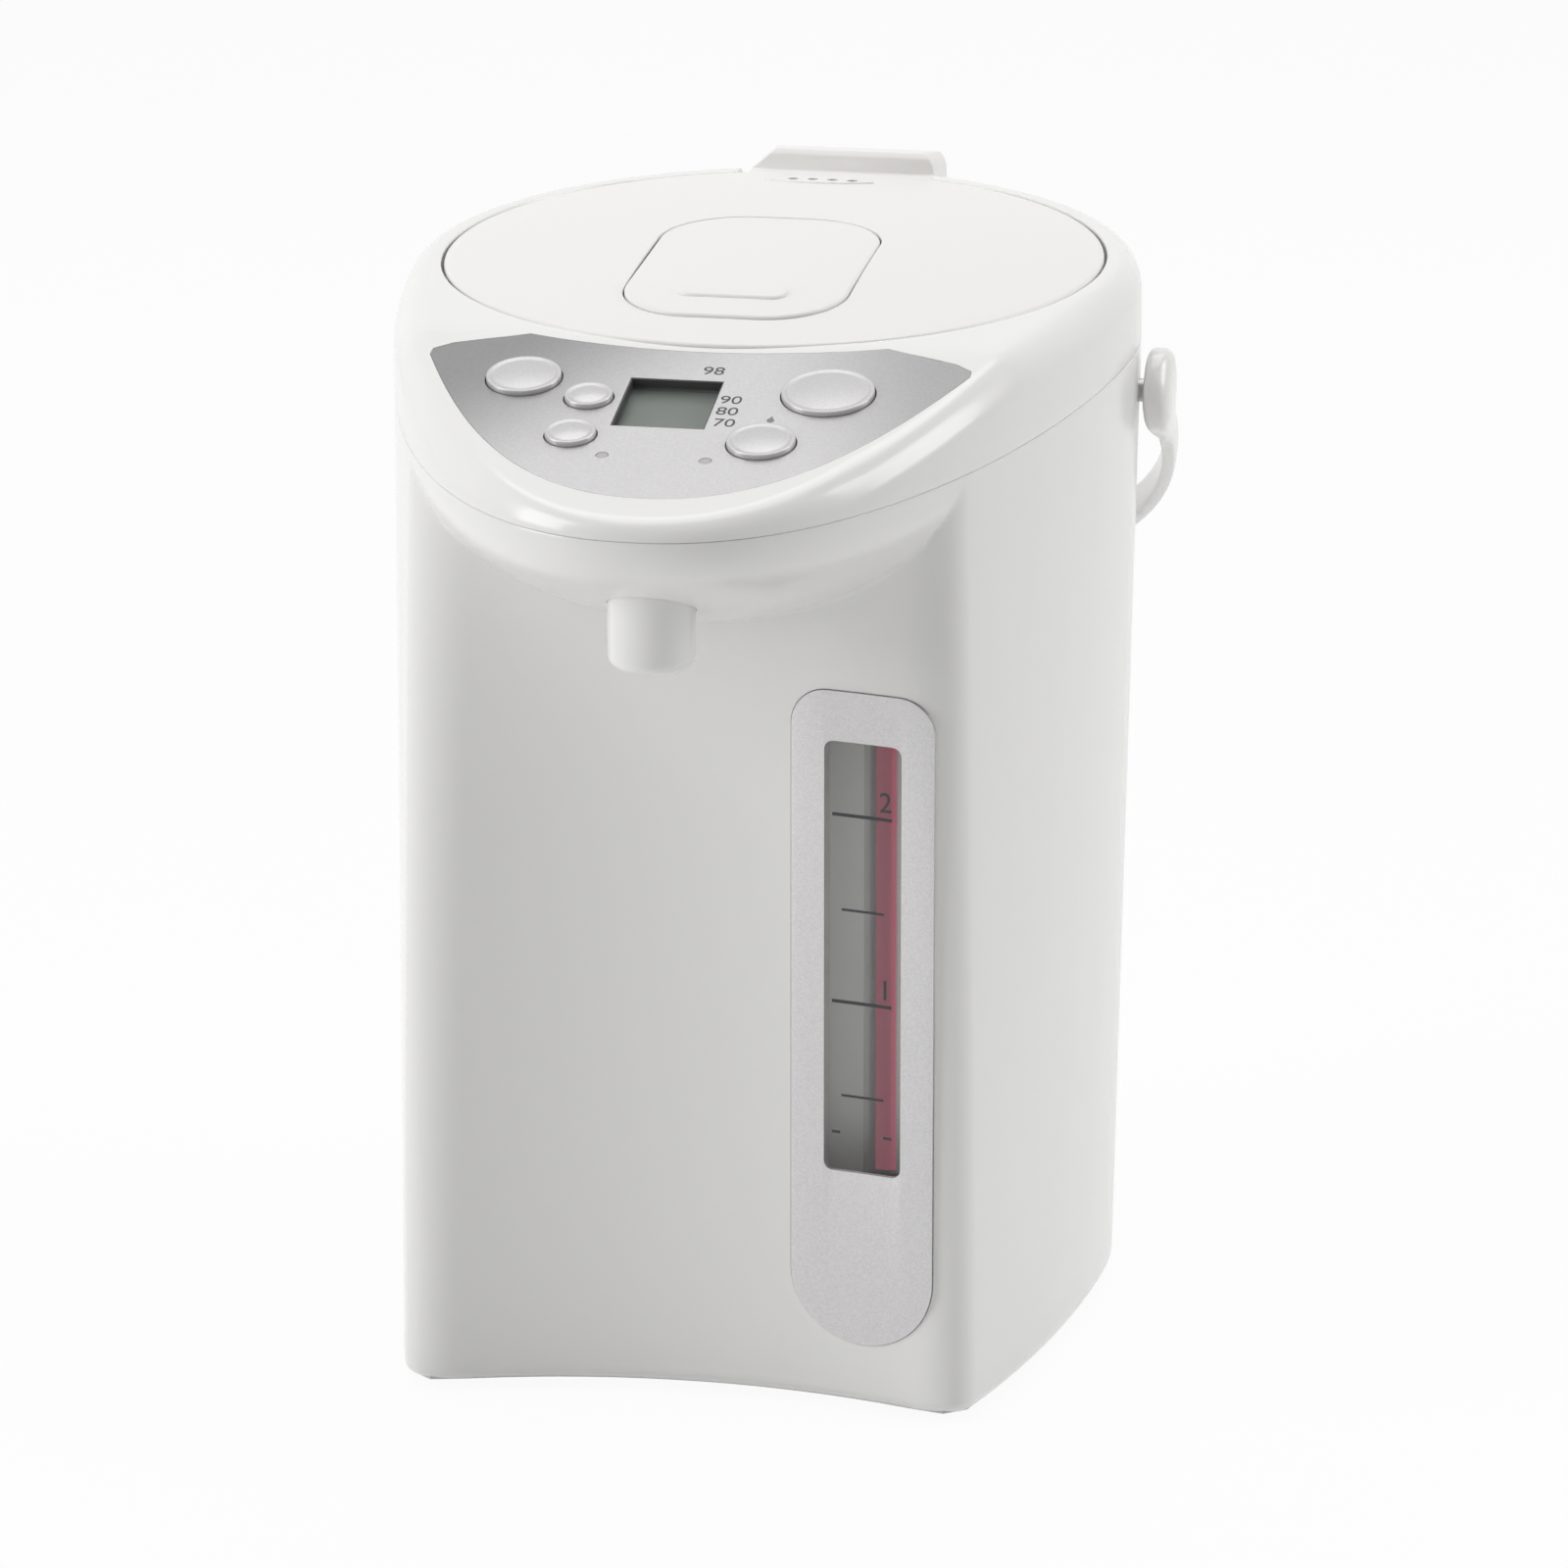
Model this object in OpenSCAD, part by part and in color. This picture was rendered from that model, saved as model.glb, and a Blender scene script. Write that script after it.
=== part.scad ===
// Electric thermo pot, about 3 litres.
// Frame: origin on the ground under the middle of the outline box, +Z up,
// the spout points to -Y and the water gauge is on the +X side.

/* [Outline] */
// Inner radius of the water container, which the lid, the collar and the casing follow
tank_r = 79.5; // [76:0.5:84]
// Reach of the lid beyond the inside of the container
lid_over = 3.9; // [3.5:0.1:4.5]
// Width of the collar beside the lid
collar_w = 9.6; // [9.4:0.1:12]
// Draw-in of the casing's sides from the collar seam to the base
side_draft = 5; // [3:0.5:7]
// Room between the inside of the container and the middle of the concave front
front_room = 24.5; // [22:0.5:28]
// Reach of the beak beyond the middle of the concave front
beak_out = 67.5; // [62:0.5:72]
// Reach of the full egg outline at the base beyond that of the beak
base_out = 29.5; // [26:0.5:33]
// Radius of the concave front
front_r = 188; // [170:2:220]
// Height of the collar seam on the axis
seam_z = 247.5; // [245:0.5:252]
// Height of the lid's rim plane on the axis
lid_z = 268.5; // [266:0.5:274]
// Wall thickness of the mouldings
wall = 2.6; // [2.2:0.1:3.2]
// Height of the casing's lower edge above the ground
base_z = 2.5; // [2:0.5:4]

/* [Beak] */
// Depth below the seam at which the bowl under the beak has drawn in
bowl_depth = 43; // [38:1:48]
// Share of its reach that the bowl draws in over that depth
bowl_fall = 0.411; // [0.36:0.01:0.46]
// Rounding of the vertical corners beside the concave front
corner_round = 12; // [8:1:22]
// Radius of the roll on the collar's upper edge
roll_r = 9.5; // [7:0.5:9.5]

/* [Lid] */
// Gap round the lid
lid_gap = 0.7; // [0.6:0.1:0.9]
// Forward tilt of the lid's rim plane
top_tilt = 3.43; // [3:0.1:4]
// Height of the lid's dome over its rim plane
dome_h = 6; // [4:0.5:7]
// Distance of the hinge pin behind the collar
hinge_out = 10; // [9:0.5:12]
// Height of the hinge pin
hinge_z = 261; // [260:0.5:262]
// Diameter of the hinge pin
hinge_d = 5; // [4:0.5:6]

/* [Control panel] */
// Forward tilt of the control panel
panel_tilt = 15; // [13:0.5:17]
// Thickness of the panel
panel_t = 1.4; // [1:0.1:1.8]
// Travel of a button
button_travel = 1.0; // [0.6:0.1:1.2]
// Gap round a button
button_gap = 0.35; // [0.3:0.05:0.5]

/* [Spout] */
// Distance from the tip of the beak back to the nozzle
spout_in = 23.5; // [20:0.5:27]
// Height of the nozzle's lower end
spout_z = 199; // [196:0.5:202]
// Outer radius of the nozzle
spout_r = 10.6; // [9:0.2:12]
// Bore radius of the nozzle
spout_bore_r = 4; // [3:0.25:5]

/* [Gauge] */
// Sideways place of the water gauge
gauge_x = 44; // [42:0.5:46]
// Width of the gauge's trim
gauge_w = 37; // [34:0.5:40]
// Width of the gauge's window
window_w = 20; // [18:0.5:21]
// Lower and upper ends of the window
window_z0 = 62.5; // [60:0.5:70]
window_z1 = 172; // [165:0.5:175]
// Lower and upper ends of the trim
gauge_z0 = 18; // [16:0.5:24]
gauge_z1 = 184.5; // [182:0.5:188]
// Outer radius of the sight tube
tube_r = 4.1; // [3.9:0.1:5]

/* [Container] */
// Wall thickness of the water container
tank_wall = 1.5; // [1:0.1:1.8]
// Height of the container's floor
tank_z0 = 57; // [55:0.5:60]
// Height of the container's flange
tank_z1 = 231; // [228:0.5:232]

/* [Handle] */
// Distance of the handle's pivots behind the pot's axis
pivot_y = 14; // [12:0.5:16]
// Height of the handle's pivots
pivot_z = 234.5; // [233:0.5:237]
// Angle at which the bail hangs below the horizontal
hang_angle = 38; // [32:1:44]
// Gap between the collar and the bail
bail_gap = 1.4; // [1.2:0.1:2.4]
// Straight length of the bail's arms
bail_arm = 21; // [19:0.5:26]
// Width of the bail's strap
strap_w = 10; // [8:0.5:14]
// Thickness of the bail's strap
strap_t = 4; // [3.5:0.1:5]
// Diameter of the handle's pivot pins
pivot_d = 6; // [5:0.5:8]

/* [Hidden] */
$fn = 96;
eps = 0.01;
run_gap = 0.05;

lid_r = tank_r + lid_over;
collar_r = lid_r + collar_w;
base_r = collar_r - side_draft;
front_y = tank_r + front_room;
beak_reach = front_y + beak_out;
base_reach = beak_reach + base_out;
hinge_y = collar_r + hinge_out;
spout_y = beak_reach - spout_in;
bail_r = collar_r + bail_gap;
seam_slope = 0.073;
lid_slope = tan(top_tilt);
panel_slope = tan(panel_tilt);
crease_in = 1.9;
panel_y = lid_r - crease_in;
panel_z = lid_z - lid_slope * panel_y;
barrel_r = 9;
egg_p = 2.18;
seam_q = 1.56;
base_q = 1.744;
fine_angles = concat([for (i = [0:42]) 3 * i - 63], [for (i = [1:28]) 63 + 234 * i / 29]);
coarse_angles = concat([for (i = [0:20]) 6 * i - 60], [for (i = [1:19]) 60 + 12 * i]);

// The origin lies on the ground under the middle of the pot's depth. The modules count from the pot's axis.
bail_back = pivot_y + (bail_arm + bail_r + strap_t) * cos(hang_angle) + strap_w / 2 * sin(hang_angle);
middle_y = (max(hinge_y + barrel_r, bail_back) - beak_reach) / 2;
module stand() { translate([0, -middle_y, 0]) children(); }

// Heights of the sloping planes.
function seam_at(y) = seam_z + seam_slope * y;
function lid_at(y) = lid_z + lid_slope * y;
function panel_at(y) = panel_z + panel_slope * (y + panel_y);
function top_at(y) = min(lid_at(y), panel_at(y));

// Smooth minimum of two radii.
function smin(a, b, k) = min(a, b) - pow(max(k - abs(a - b), 0), 2) / (4 * k);

// Radius of the egg outline at angle a from the front, refined step by step.
function egg_step(a, w, l, q, r, n) = n == 0 ? r :
    egg_step(a, w, l, q, r / pow(pow(abs(r * sin(a)) / w, egg_p) + pow(r * cos(a) / l, q), 0.52), n - 1);
function egg_r(a, w, l, q) = cos(a) <= 0.001 ? w : egg_step(a, w, l, q, w, 7);

// Radius of the concave front at angle a.
front_c = front_y + front_r;
function front_at(a) = let (d = pow(front_c * cos(a), 2) - pow(front_c, 2) + pow(front_r, 2))
    cos(a) <= 0 || d <= 0 ? 999 : front_c * cos(a) - sqrt(d);

// Radius of the body at angle a, where s runs from 0 at the seam to 1 at the base.
function mix(a, b, s) = a + (b - a) * s;
function wall_at(a, s) = smin(egg_r(a, mix(collar_r, base_r, s), mix(beak_reach, base_reach, s),
    mix(seam_q, base_q, s)), front_at(a), corner_round);
function bowl_at(a, s) = egg_r(a, collar_r, beak_reach, seam_q)
    * max(1 - bowl_fall * pow(s * seam_z / bowl_depth, 2), 0.1);
function body_at(a, s) = max(wall_at(a, s), bowl_at(a, s));

// Share of the height at which the bowl meets the wall, at angle a, and the least share below the seam.
rim_share = 0.05;
function crease_share(a) = let (fall = 1 - wall_at(a, 0.15) / egg_r(a, collar_r, beak_reach, seam_q))
    max(rim_share, bowl_depth / seam_z * sqrt(max(fall, 0) / bowl_fall));

// One ring of the body: t from 0 at the seam to 1 at the crease and on to 2 at the base, drawn in by inset.
// The wall's thickness is measured upwards in the bowl, where the surface lies flat.
function ring_share(a, t, lift) = let (c = crease_share(a) - lift) t <= 1 ? c * t : c + (1 - c) * (t - 1);
function ring_point(a, s, inset, lift) =
    let (r = max(wall_at(a, s), bowl_at(a, s + lift)) - inset, y = -r * cos(a))
    [r * sin(a), y, base_z + (seam_at(y) - base_z) * (1 - s)];
function body_ring(t, inset,
    lift) = [for (a = fine_angles) ring_point(a, ring_share(a, t, lift), inset, lift)];

// Solid between rings that all have the same number of points, from the bottom up.
module loft(rings) {
    n = len(rings[0]);
    m = len(rings);
    sides = [for (j = [0:m - 2], i = [0:n - 1], t = [0, 1]) let (k = (i + 1) % n)
        t == 0 ? [j * n + i, j * n + n + i, j * n + k] : [j * n + k, j * n + n + i, j * n + n + k]];
    floor_face = [[for (i = [0:n - 1]) i]];
    roof_face = [[for (i = [0:n - 1]) m * n - 1 - i]];
    polyhedron([for (r = rings, p = r) p], concat(sides, floor_face, roof_face), convexity = 6);
}

// Frames of the sloping top.
module lid_frame() { translate([0, 0, lid_z]) rotate([top_tilt, 0, 0]) children(); }
module panel_frame() { translate([0, -panel_y, panel_z]) rotate([panel_tilt, 0, 0]) children(); }
function panel_v(y) = (y + panel_y) / cos(panel_tilt);
function ahead(d) = -d / cos(panel_tilt);

// ---- Casing ----
body_rings = [2, 1.994, 1.981, 1.7, 1.45, 1.25, 1.1, 1, 0.88, 0.74, 0.6, 0.45, 0.3, 0.15, 0];
base_insets = [4, 1.2, 0];
cavity_rings = [2.04, 1.6, 1.2, 1, 0.85, 0.7, 0.5, 0.25, -0.15];
cavity_lift = 0.8 * wall / seam_z;
boss_angles = [40, 120, -120, -40];
boss_r = 4.5;
boss_top = 30;
boss_inset = 6.5;
cover_t = 4;
screw_r = 1.6;
function boss_reach(a) = body_at(a, 0.95) - wall - boss_inset;

// Places of the four screws, with +X outwards.
module casing_screw_places() {
    for (a = boss_angles) rotate([0, 0, a - 90]) translate([boss_reach(a), 0, 0]) children();
}

// Cylinder coaxial with the concave front, standing along Z.
module front_cylinder(r, z0, z1) { translate([0, -front_c, z0]) cylinder(r = r, h = z1 - z0, $fn = 180); }

socket_w = 31;
socket_h = 17;
socket_z = 31;
socket_t = 12;
socket_y = base_r - 1.8;
gauge_trim_t = 1.0;
gauge_proud = 0.5;
pin_boss_r = 8;
boss_sunk = 0.65;
pin_x0 = lid_r + 4.2;

module outer_body() {
    color("whitesmoke") difference() {
        union() {
            difference() {
                loft([for (j = [0:len(body_rings) - 1])
                    body_ring(body_rings[j], j < len(base_insets) ? base_insets[j] : 0, 0)]);
                loft([for (t = cavity_rings) body_ring(t, wall, cavity_lift)]);
            }
            casing_screw_places() translate([0, 0, base_z + cover_t + 1]) {
                cylinder(r = boss_r, h = boss_top - cover_t);
                translate([0, -1, 0]) cube([boss_inset + 1, 2, boss_top - cover_t]);
            }
            intersection() {
                for (m = [0, 1]) mirror([m, 0, 0]) translate([pin_x0, pivot_y, pivot_z])
                    rotate([0, 90, 0]) cylinder(r = pin_boss_r, h = collar_r - pin_x0);
                cylinder(r = collar_r - boss_sunk * wall, h = seam_z);
            }
        }
        casing_screw_places() translate([0, 0, base_z]) cylinder(r = screw_r, h = boss_top, $fn = 32);
        rotate([0, 90, 0]) translate([-pivot_z, pivot_y, 0])
            cylinder(r = pivot_d / 2 + run_gap, h = 2 * collar_r + 20, center = true, $fn = 48);
        translate([0, -spout_y, spout_z - 10]) cylinder(r = spout_r + 0.15, h = 40);
        translate([gauge_x - window_w / 2 + 1, -front_y - 20, window_z0 + 1])
            cube([window_w - 2, 40, window_z1 - window_z0 - 2]);
        intersection() {
            trim_prism(0.15);
            difference() {
                front_cylinder(front_r + gauge_trim_t + 0.05, gauge_z0 - 5, gauge_z1 + 5);
                front_cylinder(front_r - 6, gauge_z0 - 6, gauge_z1 + 6);
            }
        }
        translate([-socket_w / 2 - 0.2, socket_y - 20, socket_z - socket_h / 2 - 0.2])
            cube([socket_w + 0.4, 40, socket_h + 0.4]);
    }
}

// ---- Collar with the beak ----
skin = 2.6;
ring_r = lid_r + 2.2;
mouth_r = tank_r - 5.5;
shelf_z = -27;
sleeve_r0 = lid_r - 3.4;
sleeve_r1 = lid_r - 1;
ledge_z = -5.2;
collar_low_z = tank_z1 + 2;
arm_half = 24.4;
notch_w = 2 * (arm_half + 1.4);
cheek_w = 7.2;
cheek_r = 6.2;
cheek_l = 19;

function roll_h(a) = let (y = -body_at(a, 0) * cos(a)) min(roll_r, top_at(y) - seam_at(y) - 0.6);
function roll_w(a) = min(roll_h(a), body_at(a, 0) - ring_r - 1.0);
function top_point(a, r, drop) = let (y = -r * cos(a)) [r * sin(a), y, top_at(y) - drop];
function seam_point(a, inset, drop) = let (r = body_at(a, 0) - inset, y = -r * cos(a))
    [r * sin(a), y, seam_at(y) - drop];
function crease_r(a) = let (far = body_at(a, 0) - roll_w(a) - 0.3)
    cos(a) > 0.3 ? max(ring_r + 0.4, min(panel_y / cos(a), far)) : ring_r + 0.4;
roll_steps = [0, 22.5, 45, 67.5, 90];
function roll_ring(angles, t, inset, drop) = [for (a = angles)
    top_point(a, body_at(a, 0) - inset - roll_w(a) * (1 - cos(t)), drop + roll_h(a) * (1 - sin(t)))];
core_r = panel_y - 1.5;

module collar_blank() {
    loft(concat([[for (a = fine_angles) seam_point(a, 0, 0)]],
        [for (t = roll_steps) roll_ring(fine_angles, t, 0, 0)],
        [[for (a = fine_angles) top_point(a, crease_r(a), 0)]],
        [[for (a = fine_angles) top_point(a, ring_r, 0)]],
        [[for (a = fine_angles) top_point(a, core_r, 0)]]));
}
module collar_hollow() {
    difference() {
        loft([[for (a = coarse_angles) seam_point(a, wall, 8)],
            [for (a = coarse_angles) top_point(a, body_at(a, 0) - wall, skin + roll_h(a))],
            roll_ring(coarse_angles, 60, wall, skin),
            [for (a = coarse_angles) top_point(a, crease_r(a) - 0.2, skin + 0.2)],
            [for (a = coarse_angles) top_point(a, core_r, skin + 0.2)]]);
        lid_frame() cylinder(r = ring_r + 1.4, h = 120, center = true);
    }
}
module upper_collar() {
    color("whitesmoke") difference() {
        union() {
            difference() {
                collar_blank();
                collar_hollow();
            }
            intersection() {
                lid_frame() translate([0, 0, -60]) cylinder(r = ring_r + 1.4, h = 60 + ledge_z + 2);
                translate([-collar_r, -collar_r, collar_low_z]) cube([2 * collar_r, 2 * collar_r, 60]);
            }
            for (m = [0, 1]) mirror([m, 0, 0]) translate([notch_w / 2, 0, 0]) {
                translate([0, hinge_y - cheek_l, hinge_z - cheek_r])
                    cube([cheek_w, cheek_l, 2 * cheek_r]);
                translate([0, hinge_y, hinge_z]) rotate([0, 90, 0]) cylinder(r = cheek_r, h = cheek_w);
            }
        }
        lid_frame() {
            translate([0, 0, ledge_z]) cylinder(r = lid_r + lid_gap, h = 30);
            translate([0, 0, shelf_z])
                cylinder(r1 = sleeve_r0, r2 = sleeve_r1, h = ledge_z - shelf_z + eps);
            translate([0, 0, -70]) cylinder(r = mouth_r, h = 90);
        }
        translate([-notch_w / 2, lid_r - 7.4, hinge_z + 0.5]) cube([notch_w, 60, 30]);
        translate([-notch_w / 2, hinge_y, hinge_z]) rotate([0, 90, 0])
            cylinder(r = barrel_r + 0.8, h = notch_w);
        translate([-60, hinge_y, hinge_z]) rotate([0, 90, 0])
            cylinder(r = hinge_d / 2 + eps, h = 120, $fn = 48);
        panel_frame() {
            translate([0, 0, -panel_t]) linear_extrude(12) panel_outline(0.1);
            panel_openings(button_gap, 12);
            for (b = buttons) translate([b[1], ahead(b[2]), button_low - button_travel - 1])
                cylinder(r = b[3] + flange_w + 0.4, h = button_travel + 1 - button_low - skin, $fn = 64);
        }
    }
}

// ---- Base ----
foot_r = 8;
foot_h = 4;
foot_places = [for (m = [-1, 1]) each
    [[m * (base_r - 40), 16 - front_y], [m * (base_r - 36), base_r - 36]]];
cover_inset = wall + 0.3;
vent_count = 7;
shield_r = base_r - 22;
board_half = 33;
board_l = 42;
board_y = shield_r - 55;
standoff_places = [for (x = [-1, 1], y = [5, board_l - 5]) [x * (board_half - 5), board_y + y]];

module base_cover() {
    color("gainsboro") difference() {
        union() {
            translate([0, 0, base_z]) linear_extrude(cover_t)
                polygon([for (a = fine_angles) let (r = body_at(a, 0.985) - cover_inset)
                    [r * sin(a), -r * cos(a)]]);
            translate([0, 0, base_z + cover_t - eps]) difference() {
                cylinder(r = shield_r + 2.4, h = 4);
                translate([0, 0, -1]) cylinder(r = shield_r + 0.4, h = 6);
            }
            for (p = standoff_places) translate([p[0], p[1], base_z + cover_t - eps])
                cylinder(r = 3, h = 6);
            translate([pump_x, pump_y, base_z + cover_t - eps])
                cylinder(r = 14.4, h = pump_z0 - base_z - cover_t);
        }
        casing_screw_places() {
            translate([0, 0, base_z - 1]) cylinder(r = screw_r + 0.3, h = 20, $fn = 32);
            translate([0, 0, base_z - 1]) cylinder(r = 3.4, h = 2.8, $fn = 32);
        }
        for (p = foot_places) translate([p[0], p[1], base_z - 1])
            cylinder(r = foot_r + 0.2, h = 1 + foot_h - base_z);
        for (i = [0:vent_count - 1]) translate([(i - (vent_count - 1) / 2) * 8 - 1.5, -34, base_z - 1])
            cube([3, 40, 10]);
    }
}
module rubber_feet() {
    color("dimgray") for (p = foot_places) translate([p[0], p[1], 0]) rotate_extrude($fn = 48)
        polygon([[0, 0.4], [foot_r - 3, 0.4], [foot_r - 2.6, 0], [foot_r - 1, 0], [foot_r, 1],
            [foot_r, foot_h], [0, foot_h]]);
}
module base_screws() {
    color("silver") casing_screw_places() translate([0, 0, base_z + 0.2]) {
        cylinder(r = 3, h = 1.5, $fn = 32);
        cylinder(r = screw_r - 0.1, h = 18, $fn = 32);
    }
}
module inlet_socket() {
    color("dimgray") difference() {
        translate([-socket_w / 2, socket_y - socket_t, socket_z - socket_h / 2])
            cube([socket_w, socket_t, socket_h]);
        translate([-socket_w / 2 + 2.5, socket_y - 6, socket_z - socket_h / 2 + 2.5])
            cube([socket_w - 5, 10, socket_h - 5]);
    }
    color("goldenrod") for (x = [-7, 7]) translate([x, socket_y - 1.5, socket_z]) rotate([90, 0, 0])
        cylinder(r = 1.6, h = socket_t + 4, $fn = 32);
}

// ---- Control panel ----

// Buttons, screen and lenses: sideways place, distance ahead of the panel's rear crease, and size.
buttons = [["energy", -41, 22, 9.2], ["reboil", -23.1, 30.3, 5.9], ["temp", -23.5, 48.8, 6.2],
    ["dispense", 34.4, 23.7, 11.3], ["unlock", 23, 48.9, 8.3]];
flange_w = 1.2;
lcd_x0 = -15;
lcd_x1 = 8;
lcd_d0 = 43.3;
lcd_d1 = 19.3;
led_places = [[-13.8, 57.8], [11.4, 58.4]];
led_r = 1.5;
tip_angle = 35.6;
board_t = 1.6;
board_outline = [[-52, 14.5], [-46, 30.5], [-33, 48.5], [-24, 59.5], [20, 59.5], [33, 48.5], [46, 30.5],
    [50, 14.5]];
button_low = -5.9;
flange_top = -skin - 0.5;
board_top = button_low - button_travel - 0.5;

function panel_front(a, grow) =
    let (r = egg_r(a, collar_r, beak_reach, seam_q) - panel_margin + 4 * pow(a / tip_angle, 2) + grow)
    [r * sin(a), panel_v(-r * cos(a))];
function panel_back(x, grow) = [x, panel_v(0.003 * x * x - lid_r - 3.4) + grow];
panel_margin = 12.5;
tip_r = egg_r(tip_angle, collar_r, beak_reach, seam_q) - panel_margin + 4;
corner_steps = [[0.2, 2.7], [4.5, 5.9], [14.5, 9.5]];
panel_corners = [for (p = corner_steps) [tip_r * sin(tip_angle) - p[0], p[1] - tip_r * cos(tip_angle)]];
module panel_outline(grow) {
    polygon(concat(
        [for (i = [-12:12]) panel_front(tip_angle * i / 12, grow)],
        [for (p = panel_corners) [p[0] + grow, panel_v(p[1]) + grow]],
        [for (i = [-8:8]) panel_back(-44.5 * i / 8, grow)],
        [for (i = [2:-1:0]) [-panel_corners[i][0] - grow, panel_v(panel_corners[i][1]) + grow]]));
}
module panel_openings(gap, depth) {
    for (b = buttons) translate([b[1], ahead(b[2]), -depth])
        cylinder(r = b[3] + gap, h = 2 * depth, $fn = 64);
    translate([lcd_x0, ahead(lcd_d0), -depth]) cube([lcd_x1 - lcd_x0, ahead(lcd_d1 - lcd_d0), 2 * depth]);
    for (p = led_places) translate([p[0], ahead(p[1]), -depth])
        cylinder(r = led_r + 0.1, h = 2 * depth, $fn = 32);
}
module control_panel() {
    color("silver") panel_frame() difference() {
        translate([0, 0, -panel_t]) linear_extrude(panel_t) panel_outline(0);
        panel_openings(button_gap, 4);
    }
}
module lcd_window() {
    color([0.7, 0.8, 0.75, 0.4]) panel_frame() translate([lcd_x0 + 0.1, ahead(lcd_d0) + 0.1, -3.2])
        cube([lcd_x1 - lcd_x0 - 0.2, ahead(lcd_d1 - lcd_d0) - 0.2, 0.8]);
}
module lcd_module() {
    color("darkseagreen") panel_frame() translate([lcd_x0 + 0.1, ahead(lcd_d0) + 0.1, board_top])
        cube([lcd_x1 - lcd_x0 - 0.2, ahead(lcd_d1 - lcd_d0) - 0.2, -3.25 - board_top]);
}
module indicator_lenses() {
    color("orange") panel_frame() for (p = led_places) translate([p[0], ahead(p[1]), -5.2])
        cylinder(r = led_r, h = 5.3, $fn = 32);
}
module control_board() {
    color("seagreen") panel_frame() difference() {
        union() {
            translate([0, 0, board_top - board_t]) linear_extrude(board_t)
                polygon([for (p = board_outline) [p[0], ahead(p[1])]]);
            for (b = buttons) translate([b[1] - 2, ahead(b[2]) - 2, board_top - eps]) cube([4, 4, 0.2]);
            for (p = led_places) translate([p[0], ahead(p[1]), board_top - eps])
                cylinder(r = led_r, h = 1.9, $fn = 32);
        }
        for (x = [-46, 44]) translate([x, ahead(board_outline[0][1] + 3), board_top - 5])
            cylinder(r = screw_r, h = 10, $fn = 32);
    }
}

// A domed button with a raised rim, its skirt and the flange that keeps it under the skin.
module push_button(i) {
    x = buttons[i][1];
    v = ahead(buttons[i][2]);
    r = buttons[i][3];
    panel_frame() translate([x, v, 0]) rotate_extrude($fn = 64)
        polygon(concat([[0, button_low], [r + flange_w, button_low], [r + flange_w, flange_top],
            [r, flange_top], [r, 0.9],
            [r - 0.4, 1.4], [r - 1.1, 1.4], [r - 1.5, 1.0]],
            [for (t = [0:6]) let (q = (r - 1.5) * (1 - t / 6))
                [q, 1.0 + 0.9 * (1 - pow(q / (r - 1.5), 2))]]));
}
module energy_button() { color("lightgray") push_button(0); }
module reboil_button() { color("lightgray") push_button(1); }
module temp_button() { color("lightgray") push_button(2); }
module dispense_button() { color("lightgray") push_button(3); }
module unlock_button() { color("lightgray") push_button(4); }

// ---- Nozzle ----
nozzle_shoulder_z = 222;
nozzle_stub_r = 6.5;
edge_steps = [0:15:90];
module spout_nozzle() {
    color("whitesmoke") translate([0, -spout_y, 0]) rotate_extrude($fn = 72)
        polygon(concat([[spout_bore_r, spout_z], [spout_r - 3, spout_z]],
            [for (t = edge_steps) [spout_r - 3 + 3 * sin(t), spout_z + 3 - 3 * cos(t)]],
            [[spout_r, nozzle_shoulder_z], [nozzle_stub_r, nozzle_shoulder_z],
            [nozzle_stub_r, nozzle_shoulder_z + 5], [spout_bore_r, nozzle_shoulder_z + 5]]));
}

// ---- Water gauge ----
trim_corner = 9;
module trim_shape(grow) {
    half = gauge_w / 2 + grow;
    translate([gauge_x, gauge_z0 + gauge_w / 2]) circle(r = half);
    translate([gauge_x - half, gauge_z0 + gauge_w / 2])
        square([2 * half, gauge_z1 - trim_corner - gauge_z0 - gauge_w / 2]);
    for (m = [-1, 1]) translate([gauge_x + m * (gauge_w / 2 - trim_corner), gauge_z1 - trim_corner])
        circle(r = trim_corner + grow);
    translate([gauge_x - gauge_w / 2 + trim_corner, gauge_z1 - trim_corner])
        square([gauge_w - 2 * trim_corner, trim_corner + grow]);
}
module trim_prism(grow) {
    translate([0, -front_y + 12, 0]) rotate([90, 0, 0]) linear_extrude(36) trim_shape(grow);
}
module window_prism(grow) {
    translate([gauge_x - window_w / 2 - grow, -front_y - 24, window_z0 - grow])
        cube([window_w + 2 * grow, 40, window_z1 - window_z0 + 2 * grow]);
}
module front_shell(out, in) {
    difference() {
        front_cylinder(front_r + in, gauge_z0 - 2, gauge_z1 + 2);
        front_cylinder(front_r - out, gauge_z0 - 3, gauge_z1 + 3);
    }
}
module gauge_trim() {
    color("silver") difference() {
        intersection() {
            trim_prism(0);
            front_shell(gauge_proud, gauge_trim_t);
        }
        window_prism(0.1);
    }
}
module gauge_window() {
    color([0.6, 0.6, 0.6, 0.4]) intersection() {
        window_prism(0);
        front_shell(0.2, gauge_trim_t);
    }
}
tube_x = gauge_x + 2.3;
tube_y = 6 - front_y;
tube_z0 = 42;
tube_z1 = 196;
tube_bore = tube_r - 1.5;
plate_half = 13.5;
plate_y = tube_y + tube_r + 0.9;
strip_t = 0.5;
strip_w = 4.9;
strip_x = tube_x + 0.5;
module scale_plate() {
    color("gray") difference() {
        translate([gauge_x - plate_half, -front_y - 12, window_z0 - 5])
            cube([2 * plate_half, plate_y + 2 + front_y + 12, window_z1 - window_z0 + 10]);
        translate([gauge_x - plate_half + 2, -front_y - 20, window_z0 - 6])
            cube([2 * plate_half - 4, plate_y + front_y + 20, window_z1 - window_z0 + 12]);
        front_cylinder(front_r + wall + 0.5, 0, seam_z);
    }
}
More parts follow.
